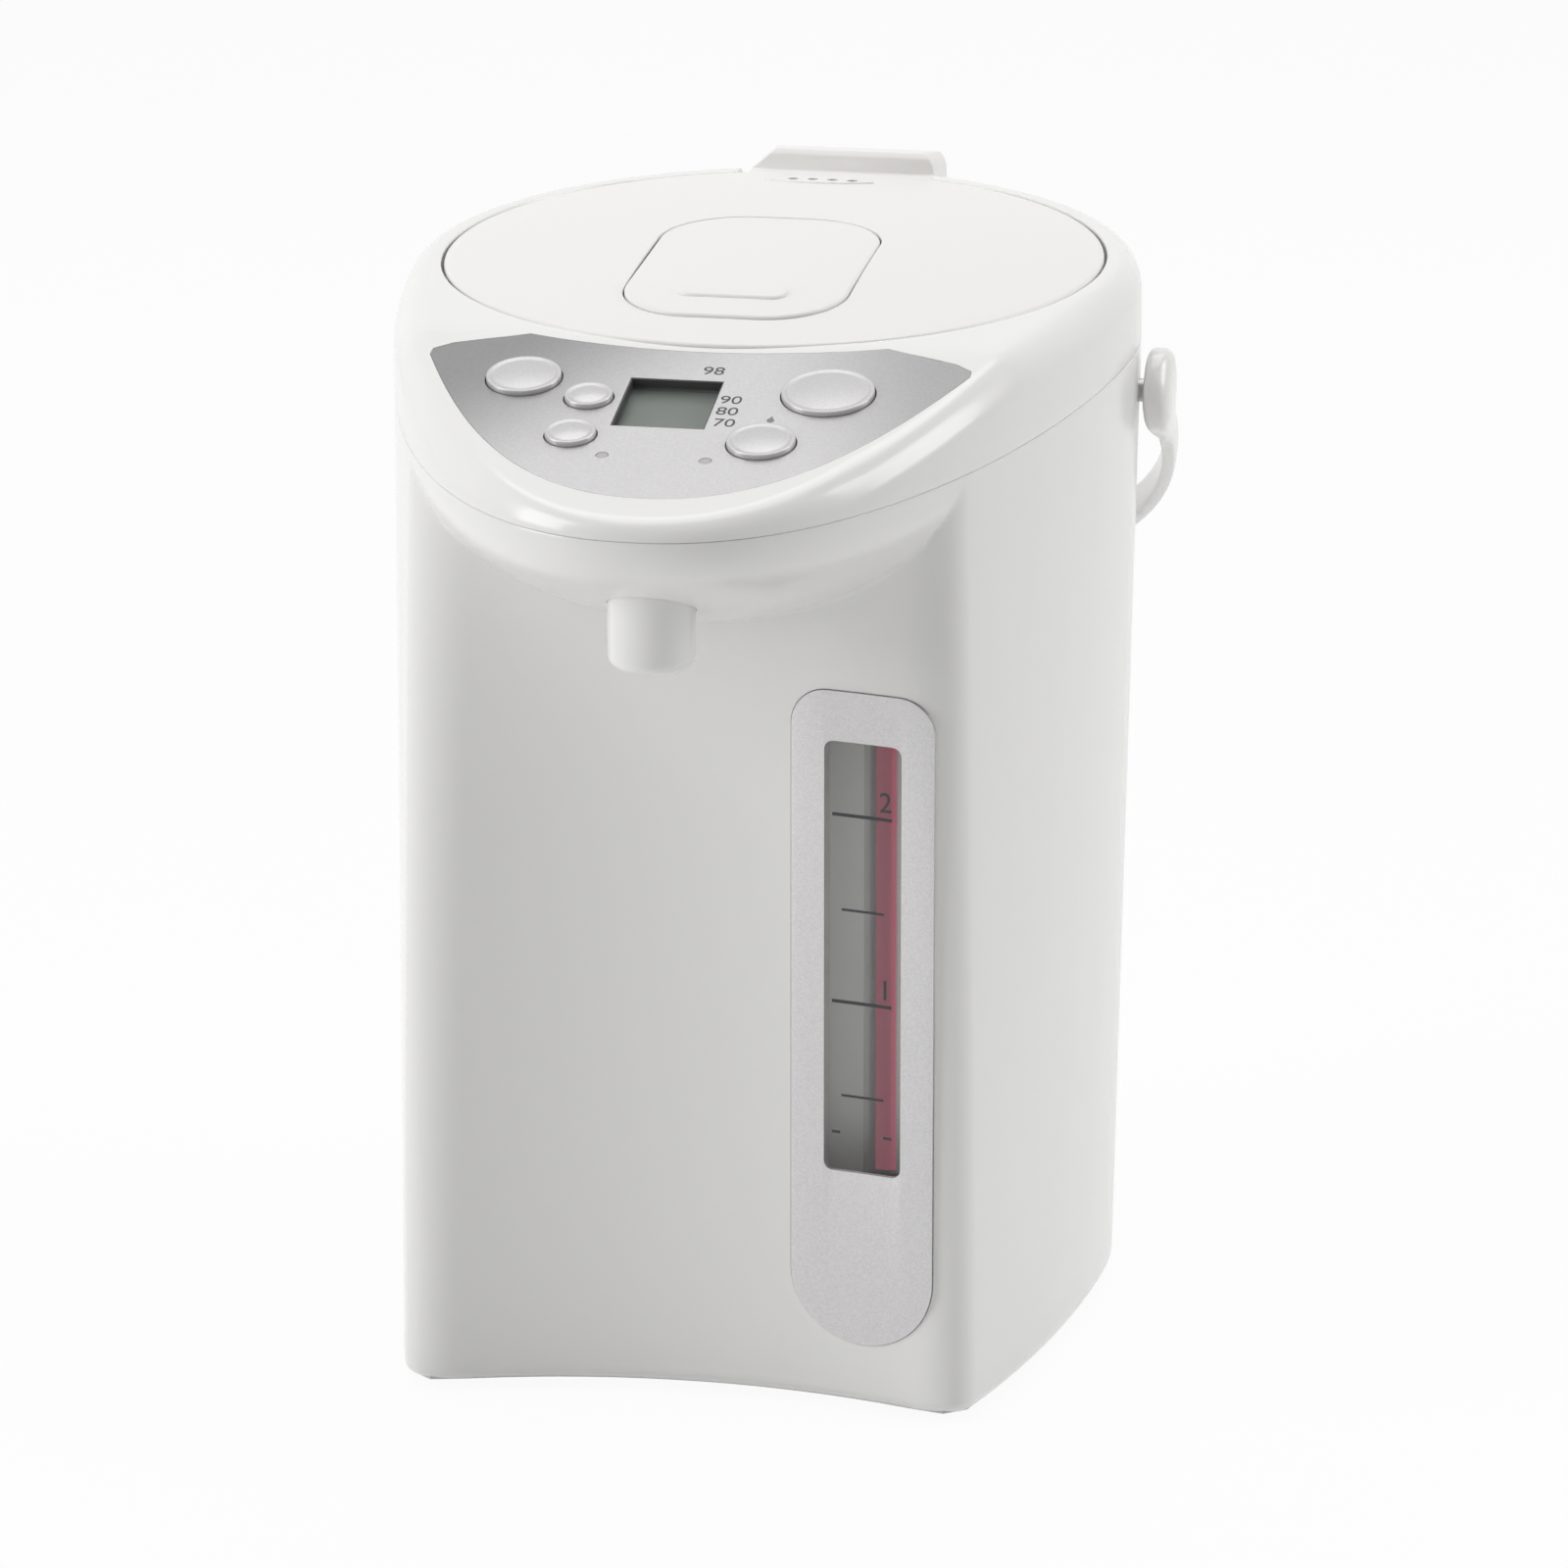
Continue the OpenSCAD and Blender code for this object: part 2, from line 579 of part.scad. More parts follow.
module red_scale_strip() {
    color("crimson") translate([strip_x - strip_w / 2, plate_y - strip_t - eps, window_z0 - 4])
        cube([strip_w, strip_t, window_z1 - window_z0 + 8]);
}
module sight_tube() {
    color([0.8, 0.85, 0.9, 0.4]) translate([tube_x, tube_y, tube_z0]) difference() {
        cylinder(r = tube_r, h = tube_z1 - tube_z0, $fn = 48);
        translate([0, 0, -1]) cylinder(r = tube_bore, h = tube_z1 - tube_z0 + 2, $fn = 48);
    }
}

// Bend of 90 degrees in an upright plane, from the angle turn on.
module quarter(b, r, turn) {
    rotate([90, 0, 0]) rotate([0, 0, turn]) rotate_extrude(angle = 90, $fn = 64)
        translate([b, 0]) circle(r = r, $fn = 48);
}

// Pipe in an upright plane from z0 over run_z to z1, with bends of radius b0 and b1.
module upright_pipe(from, to, z0, run_z, z1, b0, b1, r) {
    d = to - from;
    reach = norm(d);
    side0 = z0 > run_z ? 1 : -1;
    side1 = z1 > run_z ? 1 : -1;
    translate([from[0], from[1], 0]) rotate([0, 0, atan2(d[1], d[0])]) {
        translate([0, 0, min(z0, run_z + side0 * b0)])
            cylinder(r = r, h = abs(z0 - run_z) - b0, $fn = 48);
        translate([b0, 0, run_z + side0 * b0]) quarter(b0, r, side0 > 0 ? 180 : 90);
        translate([b0, 0, run_z]) rotate([0, 90, 0]) cylinder(r = r, h = reach - b0 - b1, $fn = 48);
        translate([reach - b1, 0, run_z + side1 * b1]) quarter(b1, r, side1 > 0 ? 270 : 0);
        translate([reach, 0, min(z1, run_z + side1 * b1)])
            cylinder(r = r, h = abs(z1 - run_z) - b1, $fn = 48);
    }
}
tube_place = [tube_x, tube_y];
nozzle_place = [0, -spout_y];
hose_z = nozzle_shoulder_z + 10.5;
hose_low = tube_z1 - 6;
hose_end = nozzle_shoulder_z + 0.3;
module spout_hose() {
    color("ivory") difference() {
        union() {
            upright_pipe(tube_place, nozzle_place, hose_low + 8, hose_z, hose_end + 3, 9, 6.4, 4.4);
            translate([tube_x, tube_y, hose_low]) cylinder(r = tube_r + 1.6, h = 11, $fn = 48);
            translate([0, -spout_y, hose_end]) cylinder(r = nozzle_stub_r + 1.6, h = 5.6, $fn = 48);
        }
        upright_pipe(tube_place, nozzle_place, hose_low - 1, hose_z, hose_end - 1, 9, 6.4, 2.6);
        translate([tube_x, tube_y, hose_low - 1]) cylinder(r = tube_r + run_gap, h = 7.3, $fn = 48);
        translate([0, -spout_y, hose_end - 1]) cylinder(r = nozzle_stub_r + run_gap, h = 6, $fn = 48);
    }
}
module tube_lower_socket() {
    color("ivory") translate([tube_x, tube_y, tube_z0 - 2]) difference() {
        cylinder(r = tube_r + 2, h = 10, $fn = 48);
        translate([0, 0, 1.9]) cylinder(r = tube_r + run_gap, h = 10, $fn = 48);
        translate([0, 0, -1]) cylinder(r = 4.1, h = 20, $fn = 48);
    }
}

// ---- Container and heater ----
tank_y = 1.5;
tank_corner = 9;
flange_r = tank_r + 6;
outlet_place = [22, 9 - shield_r];
module water_container() {
    out = tank_r + tank_wall;
    low = tank_z0 - tank_wall;
    color("gainsboro") difference() {
        translate([0, tank_y, 0]) rotate_extrude($fn = 128) polygon(concat(
            [[0, low]],
            [for (t = edge_steps)
                [out - tank_corner + tank_corner * sin(t), low + tank_corner - tank_corner * cos(t)]],
            [[out, tank_z1 - tank_wall], [flange_r, tank_z1 - tank_wall], [flange_r, tank_z1],
                [tank_r, tank_z1]],
            [for (t = [90:-15:0]) let (c = tank_corner - tank_wall)
                [tank_r - c + c * sin(t), tank_z0 + c - c * cos(t)]],
            [[0, tank_z0]]));
        translate([outlet_place[0], outlet_place[1], low - 1]) cylinder(r = 3, h = 5, $fn = 48);
    }
}
module container_gasket() {
    color("lightgray") translate([0, tank_y, tank_z1 + 0.02]) difference() {
        cylinder(r = flange_r - 1, h = collar_low_z - tank_z1 - 0.04);
        translate([0, 0, -1]) cylinder(r = tank_r + 0.6, h = 6);
    }
}
heater_r = shield_r - 18;
heater_t = 6;
tank_low = tank_z0 - tank_wall;
module heater_plate() {
    color("darkgray") translate([0, tank_y, tank_low - 0.2 - heater_t]) difference() {
        union() {
            translate([0, 0, heater_t - 2]) cylinder(r = heater_r, h = 2);
            difference() {
                cylinder(r = heater_r - 8, h = heater_t);
                translate([0, 0, -1]) cylinder(r = heater_r - 15, h = heater_t + 2);
            }
            for (x = [-1, 1]) translate([x * 8 - 2, -heater_r + 16, 0]) cube([4, 6, heater_t]);
        }
        translate([0, 0, -1]) cylinder(r = 10, h = heater_t + 2);
    }
}
module heat_shield() {
    z0 = base_z + cover_t + 0.05;
    color("lightsteelblue") difference() {
        translate([0, 0, z0]) cylinder(r = shield_r + 0.3, h = tank_low - 0.2 - z0);
        translate([0, 0, z0 - 1]) cylinder(r = shield_r - 0.9, h = 60);
        translate([outlet_place[0] - 7, -shield_r - 6, tank_low - 16]) cube([14, 24, 30]);
        for (a = [30:60:330]) rotate([0, 0, a]) translate([shield_r - 6, -9, 16]) cube([12, 18, 18]);
    }
}
sensor_places = [[-22, 14 - shield_r], [0, shield_r - 8]];
module thermistor() {
    color("dimgray") translate([sensor_places[0][0], sensor_places[0][1], tank_low - 7.2]) {
        cylinder(r = 3.5, h = 7, $fn = 48);
        cylinder(r = 5, h = 2, $fn = 48);
    }
}
module thermal_fuse() {
    color("white") translate([sensor_places[1][0] - 9, sensor_places[1][1], tank_low - 2.7])
        rotate([0, 90, 0]) {
        cylinder(r = 2.5, h = 18, $fn = 48);
        translate([0, 0, -5]) cylinder(r = 0.6, h = 28, $fn = 24);
    }
}

// ---- Pump ----
pump_x = 22;
pump_y = 21 - front_y;
pump_z0 = 9.5;
pump_r = 15;
motor_top = 22;
membrane_z = 27;
chamber_z0 = 29;
chamber_z1 = 38;
chamber_r = 12;
pump_top = 44;
pump_port_z = 33.5;
outlet_b = 5.5;
port_reach = norm([tube_x - pump_x, tube_y - pump_y]) - outlet_b - 0.1;
port_turn = atan2(tube_y - pump_y, tube_x - pump_x);
shaft_r = 2;
post_r = 1.5;
blade_count = 6;
module pump_motor() {
    color("silver") translate([pump_x, pump_y, 0]) difference() {
        translate([0, 0, pump_z0 + 0.05])
            cylinder(r = pump_r - 1, h = motor_top - pump_z0 - 0.05, $fn = 64);
        translate([0, 0, motor_top - 8]) cylinder(r = shaft_r + run_gap, h = 20, $fn = 48);
    }
}
module motor_rotor() {
    color("dimgray") translate([pump_x, pump_y, 0]) {
        translate([0, 0, motor_top - 7.6]) cylinder(r = shaft_r, h = 9, $fn = 48);
        translate([0, 0, motor_top + 0.6]) difference() {
            cylinder(r = chamber_r - 2, h = 3.6, $fn = 64);
            for (a = [45:90:315]) rotate([0, 0, a]) translate([chamber_r - 6, 0, 2.2])
                cylinder(r = 2, h = 3, $fn = 32);
        }
    }
}
module pump_housing() {
    color("ivory") difference() {
        union() {
            translate([pump_x, pump_y, motor_top + 0.05])
                cylinder(r = pump_r, h = chamber_z1 + 3 - motor_top, $fn = 64);
            translate([pump_x, pump_y, chamber_z1]) cylinder(r = 6, h = pump_top - chamber_z1, $fn = 48);
            translate([pump_x, pump_y, pump_port_z]) rotate([0, 90, port_turn])
                cylinder(r = 4.4, h = port_reach, $fn = 48);
        }
        translate([pump_x, pump_y, motor_top - 1])
            cylinder(r = chamber_r - 1, h = membrane_z - motor_top + 1, $fn = 64);
        translate([pump_x, pump_y, chamber_z0]) difference() {
            cylinder(r = chamber_r, h = chamber_z1 - chamber_z0, $fn = 64);
            cylinder(r = post_r, h = 7, $fn = 32);
        }
        translate([pump_x, pump_y, chamber_z1 - 1]) cylinder(r = 3, h = 20, $fn = 48);
        translate([pump_x, pump_y, pump_port_z]) rotate([0, 90, port_turn])
            translate([0, 0, chamber_r - 2])
            cylinder(r = 2.6, h = port_reach, $fn = 48);
    }
}
module pump_impeller() {
    color("white") translate([pump_x, pump_y, chamber_z0 + 0.5]) difference() {
        union() {
            cylinder(r = chamber_r - 1.5, h = 1.5, $fn = 64);
            cylinder(r = 3.6, h = 7, $fn = 48);
            for (i = [0:blade_count - 1]) rotate([0, 0, i * 360 / blade_count])
                translate([3, -0.6, 1]) cube([chamber_r - 4.8, 1.2, 5]);
        }
        translate([0, 0, -1]) cylinder(r = post_r + run_gap, h = 12, $fn = 32);
    }
}
inlet_pipe_z = 49.6;
pump_place = [pump_x, pump_y];
module pump_inlet_elbow() {
    color("ivory") difference() {
        upright_pipe(outlet_place, pump_place, tank_low - 0.1, inlet_pipe_z, pump_top + 0.1, 5, 5, 4.6);
        upright_pipe(outlet_place, pump_place, tank_low + 1, inlet_pipe_z, pump_top - 1, 5, 5, 3);
    }
}
module outlet_bend(r, over) {
    translate([tube_x, tube_y, pump_port_z + outlet_b]) rotate([0, 0, port_turn]) {
        translate([-outlet_b, 0, 0]) quarter(outlet_b, r, 270);
        cylinder(r = r, h = tube_z0 - 0.3 - pump_port_z - outlet_b + over, $fn = 48);
        if (over > 0) translate([-outlet_b - over, 0, -outlet_b]) rotate([0, 90, 0])
            cylinder(r = r, h = over, $fn = 48);
    }
}
module pump_outlet_elbow() {
    color("ivory") difference() {
        outlet_bend(4, 0);
        outlet_bend(2.6, 1);
    }
}

// ---- Power board ----
module power_board() {
    top = base_z + cover_t + 6.1;
    color("seagreen") {
        difference() {
            translate([-board_half, board_y, top]) cube([2 * board_half, board_l, board_t]);
            for (p = standoff_places) translate([p[0], p[1], top - 1]) cylinder(r = 1.6, h = 4, $fn = 32);
        }
        translate([0, board_y, top + board_t - 0.1]) {
            translate([-22, 9, 0]) cube([20, 17, 15]);
            translate([8, 11, 0]) cube([12, 9, 12]);
            for (x = [8, 20]) translate([x, 31, 0]) cylinder(r = 4, h = 13, $fn = 32);
            translate([-8, 33, 0]) cube([12, 6, 8]);
        }
    }
}

// ---- Lid ----
dome_r = (lid_r * lid_r + dome_h * dome_h) / (2 * dome_h);
function dome_z(r) = dome_h - dome_r + sqrt(dome_r * dome_r - r * r);
lid_t = 2.4;
skirt_r = lid_r - 4.4;
skirt_z = -16;
rim_z = -3.6;
pan_r = lid_r - 23.4;
pan_z0 = -36;
pan_z1 = shelf_z + 2;
lever_half = 28;
lever_y0 = 12.4 - lid_r;
lever_y1 = 16.5;
lever_corner = 13;
lever_gap = 0.7;
lever_pin_y = 13;
lever_pin_z = dome_z(lever_pin_y) - 2.3;
lever_pin_r = 1.2;
recess_low = -6.5;
vent_y = lid_r - 27.4;
vent_pad_half = 14.5;
vent_pad_w = 18;
vent_pad_h = 0.4;
grip_y = 28.8 - lid_r;
grip_half = 11;
grip_r = 3;
vent_x = [-7.8, -2.6, 2.6, 7.8];
latch_half = 9;
latch_z0 = -12;
latch_z1 = -9.2;
latch_tip = lid_r - 2.3;
arm_y = lid_r - 13.4;
arm_z0 = hinge_z + 1.8;
arm_z1 = hinge_z + 7.6;

module lever_shape(grow) {
    r = lever_corner + grow;
    for (x = [-1, 1], y = [lever_y0 + lever_corner, lever_y1 - lever_corner])
        translate([x * (lever_half - lever_corner), y]) circle(r = r);
    translate([-lever_half - grow, lever_y0 + lever_corner])
        square([2 * (lever_half + grow), lever_y1 - lever_y0 - 2 * lever_corner]);
    translate([-lever_half + lever_corner, lever_y0 - grow])
        square([2 * (lever_half - lever_corner), lever_y1 - lever_y0 + 2 * grow]);
}
dome_steps = [for (i = [0:14]) i * (lid_r - 1) / 14];
module dome_shell(drop, t) {
    rotate_extrude($fn = 144) polygon(concat([for (r = dome_steps) [r, dome_z(r) - drop]],
        [for (i = [14:-1:0]) [dome_steps[i], dome_z(dome_steps[i]) - drop - t]]));
}
// Lens shaped pad round the steam holes.
module vent_pad() {
    bow = (pow(vent_pad_half, 2) + pow(vent_pad_w / 2, 2)) / vent_pad_w;
    intersection() {
        translate([0, vent_y + bow - vent_pad_w / 2, 0]) cylinder(r = bow, h = dome_h);
        translate([0, vent_y - bow + vent_pad_w / 2, 0]) cylinder(r = bow, h = dome_h);
        dome_shell(-vent_pad_h, 1.2);
    }
}
module lid_cover() {
    color("whitesmoke") lid_frame() difference() {
        union() {
            rotate_extrude($fn = 144) polygon(concat([for (r = dome_steps) [r, dome_z(r)]],
                [[lid_r - 0.3, -0.2], [lid_r, -0.8], [lid_r, -1], [lid_r - 2, rim_z], [skirt_r, rim_z],
                [skirt_r, skirt_z], [skirt_r - 2, skirt_z], [skirt_r - 2, rim_z]],
                [for (i = [13:-1:0]) [dome_steps[i], dome_z(dome_steps[i]) - lid_t]]));
            difference() {
                translate([0, 0, recess_low])
                    linear_extrude(dome_z(60) - recess_low - 1) lever_shape(lever_gap + 1.6);
                translate([0, 0, recess_low + 1.6]) linear_extrude(30) lever_shape(lever_gap);
            }
            vent_pad();
            for (x = [-1, 1]) translate([x * (latch_half + 1.2) - 0.8, 9.4 - lid_r, skirt_z + 2.4])
                cube([1.6, 30, recess_low - skirt_z - 2]);
            for (x = [-1, 1]) translate([x * 16, arm_y, dome_z(lid_r - 8.4) - lid_t - 2.2])
                cylinder(r = 4, h = 3.2, $fn = 32);
        }
        translate([0, 0, recess_low + 1.6]) linear_extrude(30) lever_shape(lever_gap);
        for (x = vent_x) translate([x, vent_y, -20]) cylinder(r = 1.5, h = 40, $fn = 32);
        translate([0, lever_pin_y, lever_pin_z]) rotate([0, 90, 0])
            cylinder(r = lever_pin_r + eps, h = 2 * lever_half + 12, center = true, $fn = 32);
        translate([-latch_half - 0.3, -lid_r - 6.6, latch_z0 - 0.3])
            cube([2 * latch_half + 0.6, 20, latch_z1 - latch_z0 + 0.6]);
        translate([-arm_half - 0.1, arm_y + 2, -30]) cube([2 * arm_half + 0.2, 30, 30 + rim_z - 0.4]);
    }
}
module lid_lower_pan() {
    color("silver") lid_frame() difference() {
        rotate_extrude($fn = 128)
            polygon([[0, pan_z0], [pan_r - 4, pan_z0], [pan_r - 1, pan_z0 + 3], [pan_r, pan_z1],
            [skirt_r - 1, pan_z1], [skirt_r - 0.6, pan_z1 + 0.6], [skirt_r - 0.6, skirt_z - 0.05],
            [skirt_r - 2.6, skirt_z - 0.05], [skirt_r - 2.6, pan_z1 + 2], [pan_r - 2, pan_z1 + 2],
            [pan_r - 3, pan_z0 + 4], [pan_r - 5, pan_z0 + 2], [0, pan_z0 + 2]]);
        translate([0, vent_y - 10, pan_z0 - 4]) cylinder(r = 3, h = 10, $fn = 48);
        translate([-arm_half - 0.1, arm_y, skirt_z - 8]) cube([2 * arm_half + 0.2, 30, 8]);
    }
}
module lid_gasket() {
    color("lightgray") lid_frame() translate([0, 0, shelf_z + 0.3]) difference() {
        cylinder(r = skirt_r - 1, h = pan_z1 - 0.05 - shelf_z - 0.3);
        translate([0, 0, -1]) cylinder(r = mouth_r + 1, h = 8);
    }
}
valve_r = 10.4;
module steam_valve() {
    top = dome_z(vent_y + 10) - lid_t - 0.1;
    color("lightgray") lid_frame() translate([0, vent_y, 0]) difference() {
        translate([0, 0, pan_z1 + 2.1]) cylinder(r = valve_r, h = top - pan_z1 - 2.1, $fn = 64);
        translate([0, 0, pan_z1 + 4.5]) cylinder(r = valve_r - 1.4, h = 40, $fn = 64);
        translate([0, 0, -30]) cylinder(r = 2, h = 20, $fn = 32);
    }
}
module lid_hinge_block() {
    y = hinge_y;
    z = hinge_z;
    profile = concat([[y - barrel_r, arm_z0], [arm_y, arm_z0], [arm_y, arm_z1], [lid_r + 0.8, arm_z1],
        [lid_r + 0.8, z + 10.5],
        [y - 11.5, z + 11], [y - 11.5, z + 15], [y - 10.5, z + 16.5], [y + 3, z + 14.5],
            [y + 7.5, z + 10]],
        [for (t = [20:-20:-180]) [y + barrel_r * cos(t), z + barrel_r * sin(t)]]);
    color("whitesmoke") difference() {
        intersection() {
            translate([-arm_half, 0, 0]) rotate([90, 0, 90]) linear_extrude(2 * arm_half)
                polygon(profile);
            translate([0, y + 20, 0]) rotate([90, 0, 0]) linear_extrude(60) polygon([[-arm_half, z - 20],
                [arm_half, z - 20], [arm_half, z + 11], [arm_half - 1.5, z + 15], [arm_half - 5, z + 17],
                [-arm_half + 6.5, z + 17], [-arm_half, z + 11]]);
        }
        translate([0, y, z]) rotate([0, 90, 0])
            cylinder(r = hinge_d / 2 + run_gap, h = 100, center = true, $fn = 48);
    }
}
module hinge_pin() {
    color("silver") translate([0, hinge_y, hinge_z]) rotate([0, 90, 0])
        cylinder(r = hinge_d / 2, h = notch_w + 2 * cheek_w, center = true, $fn = 48);
}
module release_lever() {
    color("whitesmoke") lid_frame() difference() {
        union() {
            intersection() {
                translate([0, 0, -3]) linear_extrude(20) lever_shape(0);
                dome_shell(0, 2.2);
            }
            translate([0, grip_y, dome_z(grip_y) - 1]) linear_extrude(1.8) {
                for (x = [-1, 1]) translate([x * grip_half, 0]) circle(r = grip_r, $fn = 48);
                translate([-grip_half, -grip_r]) square([2 * grip_half, 2 * grip_r]);
            }
            translate([0, lever_pin_y, lever_pin_z]) rotate([0, 90, 0])
                cylinder(r = 2, h = 44, center = true, $fn = 48);
        }
        translate([0, lever_pin_y, lever_pin_z]) rotate([0, 90, 0])
            cylinder(r = lever_pin_r + run_gap, h = 60, center = true, $fn = 32);
    }
}
module lever_pin() {
    color("silver") lid_frame() translate([0, lever_pin_y, lever_pin_z]) rotate([0, 90, 0])
        cylinder(r = lever_pin_r, h = 2 * (lever_half + lever_gap + 1.5), center = true, $fn = 32);
}
module lid_latch() {
    color("gainsboro") lid_frame() {
        translate([-latch_half, -latch_tip + 3, latch_z0])
            cube([2 * latch_half, 30, latch_z1 - latch_z0]);
        translate([-latch_half, -latch_tip + 3, latch_z0]) rotate([90, 0, 90])
            linear_extrude(2 * latch_half)
            polygon([[0, 0], [-1, 0], [-3, 1.6], [-3, latch_z1 - latch_z0], [0, latch_z1 - latch_z0]]);
    }
}

// ---- Handle ----
ear_r = 11;
ear_x0 = collar_r + 0.4;
ear_t = bail_gap + strap_t + 1.8;
ear_x1 = ear_x0 + ear_t;
far = 2 * collar_r;
module bail_frame() { translate([0, pivot_y, pivot_z]) rotate([-hang_angle, 0, 0]) children(); }
module bail_handle() {
    color("whitesmoke") bail_frame() difference() {
        union() {
            translate([0, 0, -strap_w / 2]) linear_extrude(strap_w) difference() {
                union() {
                    translate([0, bail_arm]) circle(r = bail_r + strap_t, $fn = 180);
                    translate([-bail_r - strap_t, 0]) square([2 * (bail_r + strap_t), bail_arm]);
                }
                translate([0, bail_arm]) circle(r = bail_r, $fn = 180);
                translate([-bail_r, -far]) square([2 * bail_r, far + bail_arm]);
                translate([-far, -2 * far]) square([2 * far, 2 * far]);
            }
            for (m = [0, 1]) mirror([m, 0, 0]) translate([ear_x0, 0, 0]) rotate([0, 90, 0])
                rotate_extrude($fn = 72)
                polygon([[0, 0], [ear_r - 1, 0], [ear_r, 1], [ear_r, 0.4 * ear_t],
                    [ear_r - 0.7, 0.6 * ear_t], [ear_r - 2.4, 0.8 * ear_t],
                    [ear_r - 4.8, 0.94 * ear_t], [4, ear_t], [0, ear_t]]);
        }
        rotate([0, 90, 0]) cylinder(r = pivot_d / 2 + run_gap, h = 2 * (ear_x1 - 2.4),
            center = true, $fn = 48);
    }
}
module handle_pivot_pins() {
    color("silver") for (m = [0, 1]) mirror([m, 0, 0]) translate([pin_x0, pivot_y, pivot_z]) rotate([0, 90, 0])
        cylinder(r = pivot_d / 2, h = ear_x1 - 3 - pin_x0, $fn = 48);
}

stand() outer_body();
stand() upper_collar();
stand() base_cover();
stand() rubber_feet();
stand() base_screws();
stand() control_panel();
stand() lcd_window();
stand() lcd_module();
stand() indicator_lenses();
stand() control_board();
stand() spout_nozzle();
stand() gauge_trim();
stand() gauge_window();
stand() scale_plate();
stand() red_scale_strip();
stand() sight_tube();
stand() tube_lower_socket();
stand() water_container();
stand() container_gasket();
stand() heater_plate();
stand() heat_shield();
stand() pump_housing();
stand() pump_impeller();
stand() pump_motor();
stand() motor_rotor();
stand() pump_inlet_elbow();
stand() pump_outlet_elbow();
stand() spout_hose();
stand() thermistor();
stand() thermal_fuse();
stand() power_board();
stand() inlet_socket();
stand() hinge_pin();
stand() handle_pivot_pins();
stand() bail_handle();
stand() lid_cover();
stand() lid_lower_pan();
stand() lid_gasket();
stand() steam_valve();
stand() lid_hinge_block();
stand() release_lever();
stand() lever_pin();
stand() lid_latch();
stand() energy_button();
stand() reboil_button();
stand() temp_button();
stand() dispense_button();
stand() unlock_button();
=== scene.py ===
import math

import bmesh
import bpy
import numpy as np
from bpy.props import FloatProperty, FloatVectorProperty, PointerProperty
from mathutils import Matrix, Vector


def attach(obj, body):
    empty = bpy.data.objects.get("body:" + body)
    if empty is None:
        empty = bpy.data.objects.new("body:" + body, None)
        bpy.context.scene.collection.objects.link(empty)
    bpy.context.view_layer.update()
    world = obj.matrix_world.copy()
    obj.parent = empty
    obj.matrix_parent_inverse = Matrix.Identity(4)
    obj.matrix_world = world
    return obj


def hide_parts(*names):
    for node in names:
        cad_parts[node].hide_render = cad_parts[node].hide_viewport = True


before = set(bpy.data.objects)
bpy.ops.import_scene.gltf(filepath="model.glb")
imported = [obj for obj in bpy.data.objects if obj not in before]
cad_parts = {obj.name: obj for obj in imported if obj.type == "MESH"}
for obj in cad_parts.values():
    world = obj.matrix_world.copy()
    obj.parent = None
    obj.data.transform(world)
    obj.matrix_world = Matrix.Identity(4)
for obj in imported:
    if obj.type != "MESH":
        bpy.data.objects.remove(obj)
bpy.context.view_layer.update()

bl_info = {
    "name": "Thermo Pot Dresser",
    "version": (1, 0, 0),
    "blender": (4, 5, 0),
    "location": "3D View > Sidebar > Thermo Pot",
    "description": "Builds the shells, controls and finishes of an electric thermo pot round its packed solids",
    "category": "Object",
}

MM = 0.001
AXIS_Y = 0.02975


# ---------------------------------------------------------------- sizes and colours

def size(name, text, millimetres):
    return FloatProperty(name=name, description=text, default=millimetres * MM, unit="LENGTH", precision=5)


def tilt(name, text, degrees):
    return FloatProperty(name=name, description=text, default=math.radians(degrees), subtype="ANGLE")


def share(name, text, value):
    return FloatProperty(name=name, description=text, default=value)


def colour(name, text, value):
    return FloatVectorProperty(name=name, description=text, default=value, size=3, subtype="COLOR", min=0, max=1)


class PotCasing(bpy.types.PropertyGroup):
    """Sizes of the outer casing and of the collar on top of it."""
    collar_r: size("Collar radius", "Half width and rear radius at the collar seam", 93)
    base_r: size("Base radius", "Half width and rear radius at the base", 88)
    beak_reach: size("Beak reach", "Reach of the beak in front of the axis, at the seam", 171.5)
    base_reach: size("Base reach", "Reach of the full egg outline at the base", 201)
    front_y: size("Front distance", "Distance from the axis to the middle of the concave front", 104)
    front_r: size("Front radius", "Radius of the concave front", 188)
    seam_z: size("Seam height", "Height of the collar seam on the axis", 247.5)
    seam_slope: share("Seam slope", "Rise of the seam towards the rear", 0.073)
    base_z: size("Base height", "Height of the casing's lower edge", 2.5)
    base_edge: size("Base rounding", "Rounding of the casing's lower edge", 4.2)
    wall: size("Wall", "Thickness of the mouldings", 2.6)
    corner_round: size("Corner rounding", "Rounding of the corners beside the concave front", 17)
    bowl_depth: size("Bowl depth", "Depth below the seam at which the bowl has drawn in", 43)
    bowl_fall: share("Bowl fall", "Share of its reach that the bowl draws in over that depth", 0.411)
    fillet: size("Crease fillet", "Rounding of the crease between the bowl and the front", 3)
    roll_r: size("Roll", "Rounding of the collar's upper edge", 9.5)
    seam_edge: size("Seam edge", "Rounding of the two edges that meet at the seam", 0.45)


